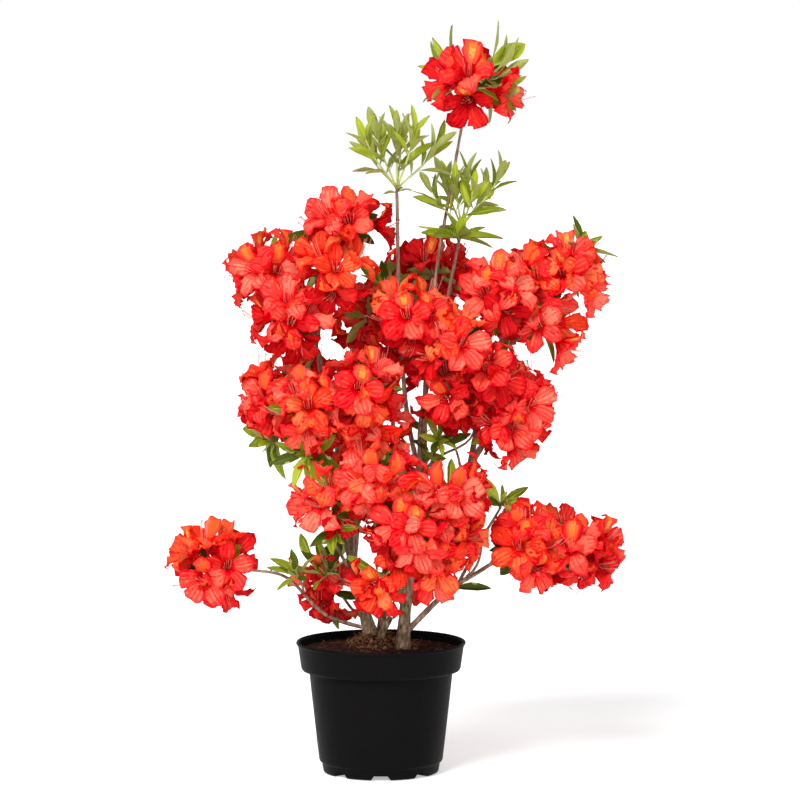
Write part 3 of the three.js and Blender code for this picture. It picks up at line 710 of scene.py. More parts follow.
young_bark = Paint("reddish_young_bark", Specular_IOR_Level=0.3)
streaks = young_bark.grain(0.003, 5, 0.6, (1, 1, 0.2))
young_tone = young_bark.ramp(
    streaks, (0.32, (0.09, 0.045, 0.030)), (0.5, (0.24, 0.140, 0.095)), (0.68, (0.42, 0.285, 0.205))
)
young_bark.use(Base_Color=young_tone, Roughness=0.6 + streaks * 0.25)
young_bark.relief(streaks, 0.0005)

green_stalk = Paint("pale_green_stalk", Specular_IOR_Level=0.35)
stalk_fade = green_stalk.grain(0.02, 2, 0.5)
green_stalk.use(
    Base_Color=green_stalk.ramp(stalk_fade, (0.3, (0.42, 0.52, 0.14)), (0.7, (0.56, 0.60, 0.22))),
    Roughness=0.5 + stalk_fade * 0.1,
)
print("bark finishes:", *(paint.material.name for paint in (old_bark, young_bark, green_stalk)))

# %% [markdown]
# ## Stems
# A stem of this age is ridged and knotted, which shows in its outline, so this part of the relief is in the
# mesh. A Displace modifier could raise it on a finished tube. It is easier to let the tube's radius follow
# the noise while the tube is made, and each stem stays one closed mesh from its foot to its fork.


# %% Stems
RING_EVERY = 2.2
FOOT_EXTRA = 0.6


def ridges(scale, height):
    """Lengthwise ridges of bark, for the tube's relief."""

    def rise(t, angle, spot):
        around = (math.cos(angle) * scale, math.sin(angle) * scale, spot[2] * 0.045)
        knots = noise.noise((math.cos(angle) * 0.9, math.sin(angle) * 0.9, spot[2] * 0.05 + scale * 7))
        return height * noise.noise(around) + 0.9 * height * knots

    return rise


for name, limb in STEMS.items():
    sheaf = Sheaf("bark_" + name, [old_bark.material])
    limb.flare += FOOT_EXTRA
    sheaf.add(*tube(limb, 26, int(limb.length() / RING_EVERY), ridges(4.2, 0.85)), 0)
    piece = sheaf.build()
    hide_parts(name)

# %% [markdown]
# ## Boughs
# A bough starts inside its parent and ends where it enters its mass. Slight swellings mark where leaves once
# sat, and short dead spurs stand out here and there. Each bough could be an object of its own, but all of
# them share one bark and nothing moves, so they are one joined mesh.

# %% Boughs
SPUR_EVERY = 42

boughs = Sheaf("bark_boughs", [young_bark.material])
for name in BRANCHES:
    limb = limbs["bough_" + name]
    draw = seeded(900 + len(boughs.kinds))
    steps = max(int(limb.length() / 3.5), 6)
    phase = draw() * 6.28

    def swelling(t, angle, spot, limb=limb, phase=phase):
        nodes = max(math.sin(t * limb.length() * 0.33 + phase), 0) ** 8
        return 0.28 * nodes + 0.22 * noise.noise((math.cos(angle) * 2, math.sin(angle) * 2, spot[2] * 0.12))

    boughs.add(*tube(limb, 10, steps, swelling), 0)
    for _ in range(int(limb.length() / SPUR_EVERY)):
        t = 0.15 + 0.8 * draw()
        lean = np.array([math.cos(draw() * 6.28), math.sin(draw() * 6.28), 0.9])
        out = unit(standing(limb.along(t)) @ lean)
        spur = Limb([limb.at(t), limb.at(t) + out * (3 + 5 * draw())], (0.9, 0.5))
        boughs.add(*tube(spur, 5, 2), 0)
bough_piece = boughs.build()
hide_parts(*("bough_" + name for name in BRANCHES))

# %% [markdown]
# ## Petals
# The flower is scarlet to coral red, and its upper lobe carries an orange blotch that shows insects the way
# in.
# Its colour also holds painted light and shade: darker in its throat, partly its own deeper red and partly
# painted shade, lighter on its folds as a painted highlight, and darker in its middle channel and at its edge
# as painted shade. One painted material could hold all of this, but a pattern that follows each petal is lost
# once thousands of petals are one mesh. So there are four tints of five grades, the crimson one a copy of the
# reds in painted shade, and each small face of a petal takes one grade of its flower's tint. A petal is so
# thin that light comes through it, which makes the shaded ones glow deep red, and a faint grain keeps it
# matt.


# %% Petal finishes
LIGHT_THROUGH = 0.22


def petal_paint(name, color):
    """A matt petal of one grade, which lets some of the light through."""
    red, green, blue = color
    paint = Paint(name, Base_Color=color, Roughness=0.6, Specular_IOR_Level=0.05)
    paint.relief(paint.grain(0.003, 2, 0.5), 0.0008)
    return paint.let_light_through((red, green * 0.4, blue * 0.45), LIGHT_THROUGH)


def linear(code):
    """The linear red, green and blue of a colour code such as #ff8000, as a shader wants them."""
    shares = [int(code[i : i + 2], 16) / 255 for i in (1, 3, 5)]
    return tuple(share / 12.92 if share < 0.04 else ((share + 0.055) / 1.055) ** 2.4 for share in shares)


# %% Tints
TINTS = {
    "scarlet": ["#d8000e", "#e60016", "#f42a2b", "#f94a3c", "#fb6a54"],
    "coral": ["#e30a16", "#ef1420", "#f83e38", "#fc5e4d", "#fd8068"],
    "vermilion": ["#e30c0c", "#ef1c12", "#f83c24", "#fc5a34", "#fd7a4a"],
    # The crimson tint is painted shade: darker copies of the reds, dealt to flowers that lie in the shade.
    "shaded_crimson": ["#96000a", "#ae0010", "#cc0e14", "#e01e20", "#f03630"],
}
SCARLET, CORAL, VERMILION, SHADED_CRIMSON = range(len(TINTS))
ZONES = ("throat", "deep", "body", "mid", "light")
BLOTCHES = {"flame": (0.95, 0.125, 0.030), "orange": (0.97, 0.215, 0.040), "amber": (0.98, 0.400, 0.080)}
PETALS = []
for tint, grades in TINTS.items():
    PETALS += [petal_paint(f"{tint}_{zone}", linear(code)) for zone, code in zip(ZONES, grades)]
FIRST_BLOTCH = len(PETALS)
PETALS += [petal_paint("blotch_" + name, color) for name, color in BLOTCHES.items()]
print(len(PETALS), "petal finishes")

# %% [markdown]
# ## One lobe
# The flower is a funnel of five lobes that open flat and roll back at their tips. One lobe could be modelled
# by hand from a plane, but no two of a plant's are alike, and a formula with a few random draws gives as many
# as are needed. A lobe is a small grid of nine faces by ten. It is narrow at the throat, widest past its
# middle and pointed at the tip. Creases run up it on both sides of a channel, its edge is waved, and it may
# be folded, twisted or rolled back.

# %% Lobe
ACROSS = np.array([-1, -0.80, -0.56, -0.30, -0.08, 0.08, 0.30, 0.56, 0.80, 1.0])
UP = np.array([0, 0.10, 0.20, 0.31, 0.42, 0.53, 0.64, 0.75, 0.85, 0.94, 1.0])
HALF_WIDTH = np.array([2.4, 3.9, 6.3, 8.8, 10.6, 11.3, 10.7, 8.8, 6.0, 2.8, 0.3])
RADIUS = np.array([3.2, 5.2, 8.4, 12.6, 17.0, 21.4, 25.8, 30.2, 34.2, 37.2, 39.4])
RISE = np.array([16.5, 20.2, 23.4, 26.2, 28.4, 30.0, 31.2, 31.8, 31.8, 31.2, 30.4])
CREASES = np.array([-0.8, 1.0, -1.0, 1.2, -1.2, -1.2, 1.2, -1.0, 1.0, -0.8])


def lobe_grid(draw, opening):
    """The points of one lobe in its flower's frame, for a lobe that points along +Y."""
    fold, sway = math.radians(-26 + 58 * draw()), 9 * (draw() - 0.5)
    recurve, waves, phase = 0.1 + 1.1 * draw(), 2.4 + 1.5 * draw(), 6.28 * draw()
    twist, length = 0.8 * (draw() - 0.5), 0.88 + 0.17 * draw()
    v, u = UP[:, None], ACROSS[None, :]
    edge = abs(u) ** 3 * np.sin(math.pi * np.minimum(v + 0.03, 1)) ** 0.6
    across = u * HALF_WIDTH[:, None] * (1 + 0.11 * edge * np.cos(7 * waves * v + 2 * phase * np.sign(u)))
    lean = fold * np.minimum(1.7 * v, 1)
    rise = RISE[:, None] + CREASES * np.sin(math.pi * np.minimum(v + 0.12, 1)) * (0.8 + 0.5 * draw())
    rise = rise + 3.0 * edge * np.sin(6.28 * waves * v + phase * np.sign(u)) + abs(across) * np.sin(lean)
    rise = rise + across * twist * v + 11 * opening * v - 30 * recurve * np.maximum(v - 0.5, 0) ** 1.6
    reach = RADIUS[:, None] * (1 - 0.3 * opening * v) * (1 + (length - 1) * v) - abs(u) ** 3 * v
    reach = reach - 14 * recurve * np.maximum(v - 0.6, 0) ** 1.5
    return np.stack([across * np.cos(lean) + sway * v**2, reach, rise], axis=-1)


def grid_faces(rows, columns):
    return [
        (i * columns + j, i * columns + j + 1, (i + 1) * columns + j + 1, (i + 1) * columns + j)
        for i in range(rows - 1)
        for j in range(columns - 1)
    ]


print("a lobe has", len(grid_faces(len(UP), len(ACROSS))), "faces")

# %% [markdown]
# ## One flower
# Each lobe is turned to its place round the funnel, and its faces get their zones, which paint light and
# shade:
# dark in the throat, partly the flower's own deeper red and partly painted shade, a painted highlight on the
# crests of the creases, painted shade along the middle channel, and the darkest painted shade at the edge,
# where a petal is seen against the next. The top lobe of most flowers gets its blotch, in orange or amber
# where the flower is bright. Twelve different flowers are enough, because each is planted many times at its
# own turn and size.


# %% Zones of a petal
BLOTCH_KIND = 10


def zone_with_painted_shade(v, middle, pale, draw):
    """A zone, 0 in the throat to 4 on the lightest folds. `middle` counts the creases out from the vein."""
    light = 0.16 + 0.52 * pale * math.sin(math.pi * min(v + 0.06, 1)) ** 0.8 + 0.12 * (draw() - 0.5)
    # Painted light and shade: a highlight on the crests of the creases, shade in the middle channel, the
    # darkest shade at the edge, and shade in the throat, where the flower's own red is also deeper.
    light += (-0.08, 0.10, -0.01, 0.07, -0.20)[middle] - 0.5 * max(1 - v / 0.26, 0)
    return sum(light > step for step in (0.08, 0.25, 0.42, 0.58))


# %% Flowers
FUNNEL = [(1.2, 2), (1.5, 8), (2.2, 12.5), (3.4, 17.2)]
FUNNEL_SIDES = 8


def funnel_tube():
    """The narrow tube behind the lobes, from its (radius, height) pairs."""
    angles = np.arange(FUNNEL_SIDES) * 2 * math.pi / FUNNEL_SIDES
    rings = [
        np.column_stack([np.cos(angles) * radius, np.sin(angles) * radius, np.full(FUNNEL_SIDES, height)])
        for radius, height in FUNNEL
    ]
    faces = []
    for i in range(len(FUNNEL) - 1):
        for j in range(FUNNEL_SIDES):
            k = (j + 1) % FUNNEL_SIDES
            low, high = i * FUNNEL_SIDES, (i + 1) * FUNNEL_SIDES
            faces.append((low + j, low + k, high + k, high + j))
    return np.concatenate(rings), faces


def flower_shape(number):
    """A flower in millimetres: points, faces and each face's kind, a zone or BLOTCH_KIND plus a blotch."""
    draw = seeded(300 + number)
    opening, bright = max(0.0, draw() - 0.4), number * 0.618 % 1
    points, faces, kinds = [], [], []
    for k in range(5):
        grid, pale = lobe_grid(draw, opening), draw()
        turn = 2 * math.pi * k / 5 + 0.22 * (draw() - 0.5)
        c, s = math.cos(turn), math.sin(turn)
        flat = grid.reshape(-1, 3) @ np.array([[c, s, 0], [-s, c, 0], [0, 0, 1]])
        flat[:, 2] += 0.6 * (k % 2)
        start = sum(len(p) for p in points)
        points.append(flat)
        for n, face in enumerate(grid_faces(len(UP), len(ACROSS))):
            row, column = divmod(n, len(ACROSS) - 1)
            middle = abs(column - 4)
            kind = zone_with_painted_shade(UP[row] + 0.05, middle, 0.2 + 0.8 * pale, draw)
            if k == 0 and 1 < row < 7 - middle + 2 * draw() and middle < 3 and bright > 0.15:
                kind = BLOTCH_KIND
                if bright > 0.55 and middle < 2 and 2 < row < 5 + 2 * draw():
                    kind += 2 if bright > 0.85 and row < 5 else 1
            faces.append(tuple(v + start for v in face))
            kinds.append(kind)
    tube_points, tube_faces = funnel_tube()
    start = sum(len(p) for p in points)
    faces += [tuple(v + start for v in face) for face in tube_faces]
    kinds += [ZONES.index("deep")] * len(tube_faces)
    return np.concatenate([*points, tube_points]), faces, kinds


FLOWERS = [flower_shape(i) for i in range(12)]
print("a flower has", len(FLOWERS[0][1]), "faces")

# %% [markdown]
# ## Stamens and stalks
# Five stamens and a longer style stand far out of the funnel and curve upwards. Their threads are salmon pink
# and end in dark anthers, and a green stalk carries the flower. Curves with a bevel would draw them too, but
# there are thousands, so they are thin tubes of three sides, and an anther is a bead of eight faces.

# %% Thread finishes
thread_paint = Paint("pink_thread", Base_Color=(0.86, 0.24, 0.17), Roughness=0.5)
anther_paint = Paint("dark_anther", Base_Color=(0.10, 0.055, 0.035), Roughness=0.7)
THREADS = [
    thread_paint.let_light_through((0.90, 0.24, 0.18), 0.2),
    anther_paint.use(),
    green_stalk.use(),
]
THREAD, ANTHER, STALK = range(len(THREADS))


# %% Stamens
def thread_shapes(seed):
    """The stamens and the style of one flower."""
    draw = seeded(seed)
    reach = 29 + 15 * draw()
    parts = []
    for i in range(6):
        side = (i - 2.5) * 1.4
        top = reach + 4 * draw() + (7 if i == 5 else 0)
        start = (0.4 * side, -0.6, 12)
        end = (side * 1.6 + 4 * (draw() - 0.5), 2 + 9 * draw(), top)
        thread = Twig(start, (0.1 * side, -0.35, 1), end, (0.05 * side, 0.75, 1), (0.42, 0.3))
        parts.append((*tube(thread, 3, 5), THREAD))
        tip = standing(thread.along(1))
        anther = np.array([(0, 0, -1), (0.55, 0, 0), (0, 0.55, 0), (-0.55, 0, 0), (0, -0.55, 0), (0, 0, 1)])
        around = [(0, 2, 1), (0, 3, 2), (0, 4, 3), (0, 1, 4), (5, 1, 2), (5, 2, 3), (5, 3, 4), (5, 4, 1)]
        parts.append((anther @ tip.T + np.array(end), around, ANTHER))
    return parts


STAMENS = [thread_shapes(500 + i) for i in range(6)]
print(len(STAMENS), "sets of", len(STAMENS[0]) // 2, "threads")

# %% [markdown]
# ## Leaves
# Young azalea leaves are narrow ovals, folded a little along the midrib and arched back. Above they are fresh
# green, the older ones darker and some bronze at the tip, and beneath they are pale grey-green. The dark
# green also stands as painted shade for leaves below the heads and low in the crown. A leaf could be a flat
# card with a picture of a leaf on it, but it would vanish when seen edge on. Here each is a thin lens of few
# faces: an upper and an under sheet that share their outline, with the midrib as a row of lighter faces.


# %% Leaf finishes
def leaf_paint(name, color, through, roughness=0.42):
    """A leaf's finish. Light from behind shows in the colour `through`."""
    paint = Paint(name, Base_Color=color, Roughness=roughness, Specular_IOR_Level=0.15)
    return paint.let_light_through(through, LIGHT_THROUGH)


LEAVES = [
    leaf_paint("leaf_lime", (0.38, 0.45, 0.022), (0.62, 0.74, 0.03)),
    leaf_paint("leaf_fresh", (0.21, 0.26, 0.009), (0.42, 0.52, 0.02)),
    # Dark green: the colour of older leaves, and partly painted shade for leaves that lie in the shade.
    leaf_paint("leaf_dark_and_shaded", (0.070, 0.098, 0.003), (0.14, 0.20, 0.006)),
    leaf_paint("leaf_under", (0.40, 0.44, 0.12), (0.56, 0.64, 0.09), 0.6),
    leaf_paint("leaf_bronze", (0.16, 0.095, 0.008), (0.28, 0.18, 0.01)),
    leaf_paint("leaf_rib", (0.52, 0.60, 0.09), (0.66, 0.76, 0.08)),
]
LIME, FRESH, DARK_AND_SHADED, UNDER, BRONZE, RIB = range(len(LEAVES))
print(len(LEAVES), "leaf finishes")

# %% Leaf shapes
LEAF_ROWS = np.array([0, 0.12, 0.30, 0.48, 0.66, 0.82, 0.94, 1.0])
LEAF_HALF = np.array([0.06, 0.32, 0.74, 0.98, 0.95, 0.66, 0.30, 0.02])
LEAF_ACROSS = (-1, -0.5, -0.07, 0.07, 0.5, 1)


def leaf_shape(seed):
    """A leaf 1 long and about 0.3 wide, which starts at the origin, runs along +Z and faces +Y."""
    draw = seeded(seed)
    arch, cup, twist = 0.04 + 0.18 * draw(), 0.05 + 0.12 * draw(), 0.7 * (draw() - 0.5)
    width = 0.12 + 0.07 * draw()
    columns = len(LEAF_ACROSS)
    points, faces, sides = [], [], []
    for side in (1, -1):
        for t, half in zip(LEAF_ROWS, LEAF_HALF):
            for u in LEAF_ACROSS:
                x = u * half * width
                rim = abs(u) == 1 or t in (0, 1)
                belly = 0.004 * (not rim) * side
                y = -arch * t * t * 1.3 + arch * t * 0.5 + cup * abs(u) * half * 0.7 + belly
                y += 0.012 * math.sin(11 * t + 3 * u) * abs(u)
                a = twist * t
                points.append((x * math.cos(a) - y * math.sin(a), x * math.sin(a) + y * math.cos(a), t))
    rows = len(LEAF_ROWS)
    for face in grid_faces(rows, columns):
        row, column = divmod(face[0], columns)
        faces.append(face)
        sides.append((row, column, 1))
        faces.append(tuple(v + rows * columns for v in reversed(face)))
        sides.append((row, column, -1))
    return np.array(points), faces, sides


LEAF_SHAPES = [leaf_shape(700 + i) for i in range(8)]
print("a leaf has", len(LEAF_SHAPES[0][1]), "faces")

# %% [markdown]
# ## Planting one flower or leaf
# A flower or leaf is planted by turning its points to the way that it looks and moving them to their place.
# Linked copies of an object would save memory, but each kind has to end as one mesh, so the points go
# straight into its sheaf. Real flowers don't all stand at one distance, so each is pushed out or in a little,
# and those in front cover those behind. Blossom has two sheaves, filled by turns, because one alone would be
# too large a mesh.

# %% Sheaves of the plant
blossoms = [Sheaf("blossom_one", PETALS), Sheaf("blossom_two", PETALS)]
threads = Sheaf("stamens_and_stalks", THREADS)
foliage = Sheaf("foliage", LEAVES)
twigs = Sheaf("twigs", [young_bark.material, green_stalk.material])
WOOD, GREEN = 0, 1


# %% Planting one flower or leaf
def plant_flower(knob, way, up, draw, size, tint):
    """A flower with its stalk and stamens, which looks along `way` from near `knob`."""
    points, faces, kinds = FLOWERS[int(draw() * len(FLOWERS))]
    way = unit(way + 0.36 * np.array([draw() - 0.5, draw() - 0.5, draw() - 0.5]))
    roll = 0.9 * (draw() - 0.5)
    c, s = math.cos(roll), math.sin(roll)
    basis = standing(way, up) @ np.array([[c, -s, 0], [s, c, 0], [0, 0, 1]])
    root = knob + way * (2 + 8 * draw()) + 5 * np.array([draw() - 0.5, draw() - 0.5, draw() - 0.5])
    sheaf = blossoms[len(blossoms[0].kinds) > len(blossoms[1].kinds)]
    first_zone, first_blotch = len(ZONES) * tint, FIRST_BLOTCH - BLOTCH_KIND
    finishes = [kind + (first_zone if kind < BLOTCH_KIND else first_blotch) for kind in kinds]
    sheaf.add(points * size @ basis.T + root, faces, finishes)
    threads.add(*tube(Twig(knob, way, root + way * 8, way, (0.8, 1.4)), 5, 3), STALK)
    for part, part_faces, kind in STAMENS[int(draw() * len(STAMENS))]:
        threads.add(part * size @ basis.T + root, part_faces, kind)


def plant_leaf(knob, way, up, length, draw, tones):
    """A leaf that runs along `way` from `knob` and shows its face to `up`."""
    points, faces, sides = LEAF_SHAPES[int(draw() * len(LEAF_SHAPES))]
    tone = tones[int(draw() * len(tones))]
    bronze = draw() < 0.3
    kinds = []
    for row, column, side in sides:
        top = BRONZE if bronze and row >= len(LEAF_ROWS) - 2 else tone
        if column == 2 and row < 5 and tone != DARK_AND_SHADED:
            top = RIB
        kinds.append(top if side > 0 else UNDER)
    foliage.add(points * length @ standing(way, up).T + knob, faces, kinds)


# %% [markdown]
# ## Heads, whorls and stalks
# A head is a knob from which the flowers look out, with a few leaves below them, mostly dark green, partly as
# painted shade under the flowers. Colours have their place as painted light and shade: flowers in the open
# air and those that face the front are the lightest, and most that look inwards are crimson, as painted
# shade.
# Geometry nodes could deal the flowers out over a ball, but here a loop can ask for each which tint its place
# gives it. A leafy shoot is a whorl of leaves with a few small upright ones in its heart, or a bunch of pale
# stalks with leaves along them.

# %% Heads and whorls
CROWN_MIDDLE = (15, 5)
BACK_SHADE_FROM = 25


def plant_head(place, axis, draw, ways, tints, scale):
    """Flowers along `ways`. Rows of `tints` paint open air, half shade and the shade of the inside."""
    outward = unit((place[0] - CROWN_MIDDLE[0], place[1] - CROWN_MIDDLE[1], 0))
    for way in ways:
        # Painted light and shade: a flower that faces out and up, or to the front and its lamps, gets a light
        # tint, and one that faces inwards a shaded one.
        lit_score = 0.6 * float(way @ outward) + 0.5 * way[2] - 0.3 * max(float(way[1]), 0)
        faces_the_lamps = way[1] < -0.7 and way[2] > -0.25
        dealt = tints[0] if lit_score > 0.35 or faces_the_lamps else tints[1] if lit_score > 0.05 else tints[2]
        # Painted shade: flowers at the back of the crown that face the front get the tints of the inside.
        dealt = tints[2] if place[1] > BACK_SHADE_FROM and way[1] < 0 else dealt
        size = scale * (0.92 + 0.15 * draw())
        plant_flower(place, way, (0, 0, 1), draw, size, dealt[int(draw() * len(dealt))])
    # The leaves below a head are mostly dark green, partly as painted shade under its flowers.
    for way in whorl(axis, 5, 110, draw() * 6.28):
        plant_leaf(place, way, axis, 38 + 12 * draw(), draw, (FRESH, DARK_AND_SHADED, DARK_AND_SHADED))


def plant_whorl(place, axis, leaves, draw, tones, lean, length):
    """Leaves all round an axis, with three small upright ones in their heart."""
    turn = draw() * 6.28
    for way in whorl(axis, leaves, lean, turn):
        roll = 1.4 * (draw() - 0.5)
        up = axis * math.cos(roll) + np.cross(way, axis) * math.sin(roll)
        plant_leaf(place, way, up, length * (0.78 + 0.36 * draw()), draw, tones)
    for way in whorl(axis, 3 if leaves > 2 else 0, 22, turn + 1):
        up = facing(draw() * 360, 0)
        plant_leaf(place, way, up, length * (0.45 + 0.2 * draw()), draw, (LIME, LIME, FRESH))


# %% Stalks and knobs
def plant_stalk(place, way, length, leaves, draw, tones, size):
    """A pale stalk that turns upwards, with leaves that stand closer to it towards the tip."""
    stalk = Twig(place, way, place + way * length, unit(way + np.array([0, 0, 0.5])), (1.3, 0.8))
    twigs.add(*tube(stalk, 6, 6), GREEN)
    turn = draw() * 6.28
    for i in range(leaves):
        share = i / (leaves - 1)
        spot = 0.34 + 0.66 * share**0.7
        angle, lean = turn + i * GOLDEN_ANGLE, math.radians(64 - 44 * share + 14 * (draw() - 0.5))
        side = np.array([math.sin(lean) * math.cos(angle), math.sin(lean) * math.sin(angle), math.cos(lean)])
        axis = stalk.along(spot)
        way = unit(standing(axis) @ side + np.array([0, 0, 0.3]))
        plant_leaf(stalk.at(spot), way, axis, size * (0.8 + 0.35 * draw()) * (1 - 0.2 * share), draw, tones)


def add_knob(place, radius):
    """A woody knob, where twigs meet or flowers start."""
    half = np.array([0, 0, radius])
    ball = Limb([place - half, place + half], (radius * 0.8, radius * 0.8))
    twigs.add(*tube(ball, 6, 2, lambda t, angle, spot: -radius * 0.5 * (2 * t - 1) ** 2), WOOD)


# %% [markdown]
# ## Which way the flowers look
# The golden angle fills a head evenly on all sides. That is right for a head in a crowd, but one that borders
# on open sky has its own outline, and the gaps in the crown depend on it. Those heads have the directions of
# their flowers written out, as azimuth and elevation. A bough's heads are counted after its shoots, from 0.
# The others say how many flowers they have and how far off the head's axis the last one looks.

# %% Directions of the flowers
HEADS = {
    "top 1": ((-4, -16), (-14, 40), (-62, 8), (66, -8), (176, 12)),
    "upper_left 0": ((10, 20), (-50, 30), (78, -6), (-30, -25), (20, 75), (160, 30), (-100, 10)),
    "upper_left 3": ((-5, -12), (-85, 10), (40, 12), (20, -42), (-30, -45), (0, 42)),
    "upper_left 4": ((25, 20), (60, 35), (20, -22), (150, 30)),
    "upper_right 1": ((-12, 4), (35, 20), (-50, 15), (10, -35), (-10, 60), (160, 10)),
    "upper_right 3": ((40, 15), (75, 35), (0, 25), (62, -10), (100, 12), (20, 70), (150, 20)),
    "upper_right 4": ((0, 14), (76, -34), (-45, 10), (140, 10), (-18, 42)),
    "front 1": ((25, 5), (62, 8), (-22, 0), (20, -34), (85, -15), (120, 20)),
    "front 4": ((-14, -10), (-80, -20), (30, 25), (10, -48)),
    "front 5": ((18, -2), (0, 25), (60, 30), (0, -38)),
    "far_right 1": ((-6, 6), (62, 15), (20, 50), (8, -56), (88, -14), (140, 10), (45, -30)),
    "far_right 3": ((-20, 0), (50, 20), (0, 60), (30, -35), (140, 0)),
    "low_left 1": ((10, 30), (25, -45), (-28, -38)),
    "low_left 2": ((24, 4), (5, -42), (-45, -12)),
    "far_left 0": ((-15, -8), (-70, 28), (-75, -35), (-140, 5), (-20, 58), (-10, -60)),
    "far_left 1": ((14, 12), (-10, 70), (160, 10), (5, -48)),
}
USUAL_SPREAD = (7, 108)
SPREADS = {
    "left": (7, 100), "front": (7, 98), "upper_right": (7, 98), "front_left": (5, 80), "far_right": (7, 95)
}
print(len(HEADS), "heads with directions of their own")

# %% [markdown]
# ## Heads and shoots of the masses
# The lowest heads are deeper in colour than those in the middle, as painted shade under the crown, and the
# outermost ones and the topmost one are deeper in colour too. A head's size and a whorl's length can differ
# with the mass. The topmost shoot is not a whorl: its leaves stand on short stalks at both sides of the head.
# The two tall shoots have a small whorl at their fork and long stalks above it.

# %% Heads of flowers
# The tints of painted shade, for flowers that look inwards.
INSIDE_SHADE = (SHADED_CRIMSON, SCARLET, SHADED_CRIMSON)
LIGHTER = ((CORAL, VERMILION, SCARLET, CORAL), (SCARLET, VERMILION, SCARLET, CORAL, SHADED_CRIMSON), INSIDE_SHADE)
# Deeper tints: for the masses listed below, and as painted shade for the low heads.
DEEPER = ((SCARLET, VERMILION, SCARLET), (SCARLET, SCARLET, SHADED_CRIMSON), INSIDE_SHADE)
DEEPER_MASSES = ("top", "far_left", "far_right", "low_left")
# Heads lower than this, in millimetres, get the deeper tints as painted shade under the crown.
SHADED_BELOW = 270
HEAD_SIZES = {"top": 1.15, "low_left": 0.8}


def grow_head(name, index, place, axis, draw):
    """One head of the mass `name`, with the flowers' own directions or the golden angle's."""
    add_knob(place, 3.6)
    aims = HEADS.get(f"{name} {index}")
    turn = draw() * 6.28
    ways = [facing(*aim) for aim in aims] if aims else spread(axis, *SPREADS.get(name, USUAL_SPREAD), turn)
    tints = DEEPER if name in DEEPER_MASSES or place[2] < SHADED_BELOW else LIGHTER
    plant_head(place, axis, draw, ways, tints, HEAD_SIZES.get(name, 1.0))


# %% Leafy shoots
USUAL_LEAVES = (58, 50)
LEAF_TONES = dict.fromkeys(("top", "shoot_upper_left", "shoot_upper_right"), (LIME, LIME, FRESH))
# The low masses have mostly dark leaves, partly as painted shade.
LEAF_TONES |= dict.fromkeys(("low_left", "front_left"), (FRESH, DARK_AND_SHADED, DARK_AND_SHADED))
WHORL_SIZES = {
    "front_left": 0.7, "shoot_low_left": 0.74, "shoot_centre": 0.7, "shoot_upper_right": 1.15, "left": 1.05
}
TOP_STALKS = ((-84, 28), (-98, 0), (-80, -16), (76, 42), (88, 20), (96, 2), (80, -20))


def grow_shoot(name, place, axis, sizes, draw):
    """One shoot. `sizes` has its leaves and stalks, and may go on with the leaves' lean and length."""
    leaves, stalks, lean, length = (*sizes, *USUAL_LEAVES[len(sizes) - 2 :])
    tones = LEAF_TONES.get(name, (LIME, FRESH, FRESH, DARK_AND_SHADED))
    add_knob(place, 2.8)
    if name == "top":
        for azimuth, elevation in TOP_STALKS:
            plant_stalk(place - 12 * axis, facing(azimuth, elevation), 27, 3, draw, tones, 56)
    elif not stalks:
        leaves += -1 if name == "shoot_low_left" else 3
        plant_whorl(place, axis, leaves, draw, tones, lean, length * WHORL_SIZES.get(name, 0.86))
    else:
        plant_whorl(place - 4 * axis, axis, 3, draw, tones, 85, length * 0.35)
        for way in spread(axis, stalks + 1, 50, draw() * 6.28):
            plant_stalk(place, way, 48 + 32 * draw() * way[2], 8, draw, tones, length * 0.78)


# %% [markdown]
# ## Growing the masses
# From the tip of its bough a mass grows one short stem to a fork, and from the fork a twig to each shoot and
# head, as in the model. A mass could be grown once and copied, but every mass here has its own place in the
# crown and its own neighbours, so each is grown from its row, with its own stream of numbers.

# %% Masses
STEM_LENGTH = 6.3

for number, (name, (_, _, _, radii, heads, shoots)) in enumerate(BRANCHES.items()):
    draw = seeded(20 + number)
    bough = limbs["bough_" + name]
    leave, root = bough.along(1), bough.at(1)
    fork = root + leave * STEM_LENGTH
    twigs.add(*tube(Limb([root - leave, fork], (radii[1], radii[1] * 0.9)), 7, 2), WOOD)
    add_knob(fork, radii[1] * 1.2)
    for index, row in enumerate([*shoots, *heads]):
        place, axis, sizes = np.array(row[:3], float), facing(*row[3:5]), row[5:]
        towards = unit(place - fork)
        twig = Twig(fork, towards + 0.3 * leave, place, towards + 0.6 * axis, (1.9, 1.3))
        twigs.add(*tube(twig, 7, max(int(twig.length() / 6), 4)), WOOD)
        if sizes:
            grow_shoot(name, place, axis, sizes, draw)
        else:
            grow_head(name, index, place, axis, draw)
print(sum(len(row[4]) for row in BRANCHES.values()), "heads of flowers")
print(sum(len(row[5]) for row in BRANCHES.values()), "leafy shoots")

# %% [markdown]
# ## Single leaves and bare twigs
# Between the masses the limbs aren't quite bare: here and there a leaf sits on the bark, or a thin twig ends
# in a bud that never opened. A rule would put them anywhere, also where nobody sees them, so the few that
# fill the open places are listed one by one, each by its limb, how far along it starts, and where it goes.

# %% Single leaves
LONE_LEAVES = [
    ("bough_far_right", 0.36, 85, 0, 44), ("bough_shoot_upper_left", 0.15, 70, 5, 34),
    ("stem_right", 0.99, 60, 25, 30), ("bough_shoot_upper_left", 0.24, 40, -20, 32),
    ("bough_centre", 0.35, 80, -35, 28), ("bough_top", 0.15, -60, 30, 28), ("stem_left", 0.62, -35, 12, 46),
    ("bough_centre_left", 0.5, -80, 20, 34), ("stem_left", 0.9, -60, 30, 30),
]
draw = seeded(61)
for name, share, azimuth, elevation, length in LONE_LEAVES:
    plant_leaf(limbs[name].at(share), facing(azimuth, elevation), (0, -1, 0.6), length, draw, (FRESH, DARK_AND_SHADED))
print(len(LONE_LEAVES), "single leaves")

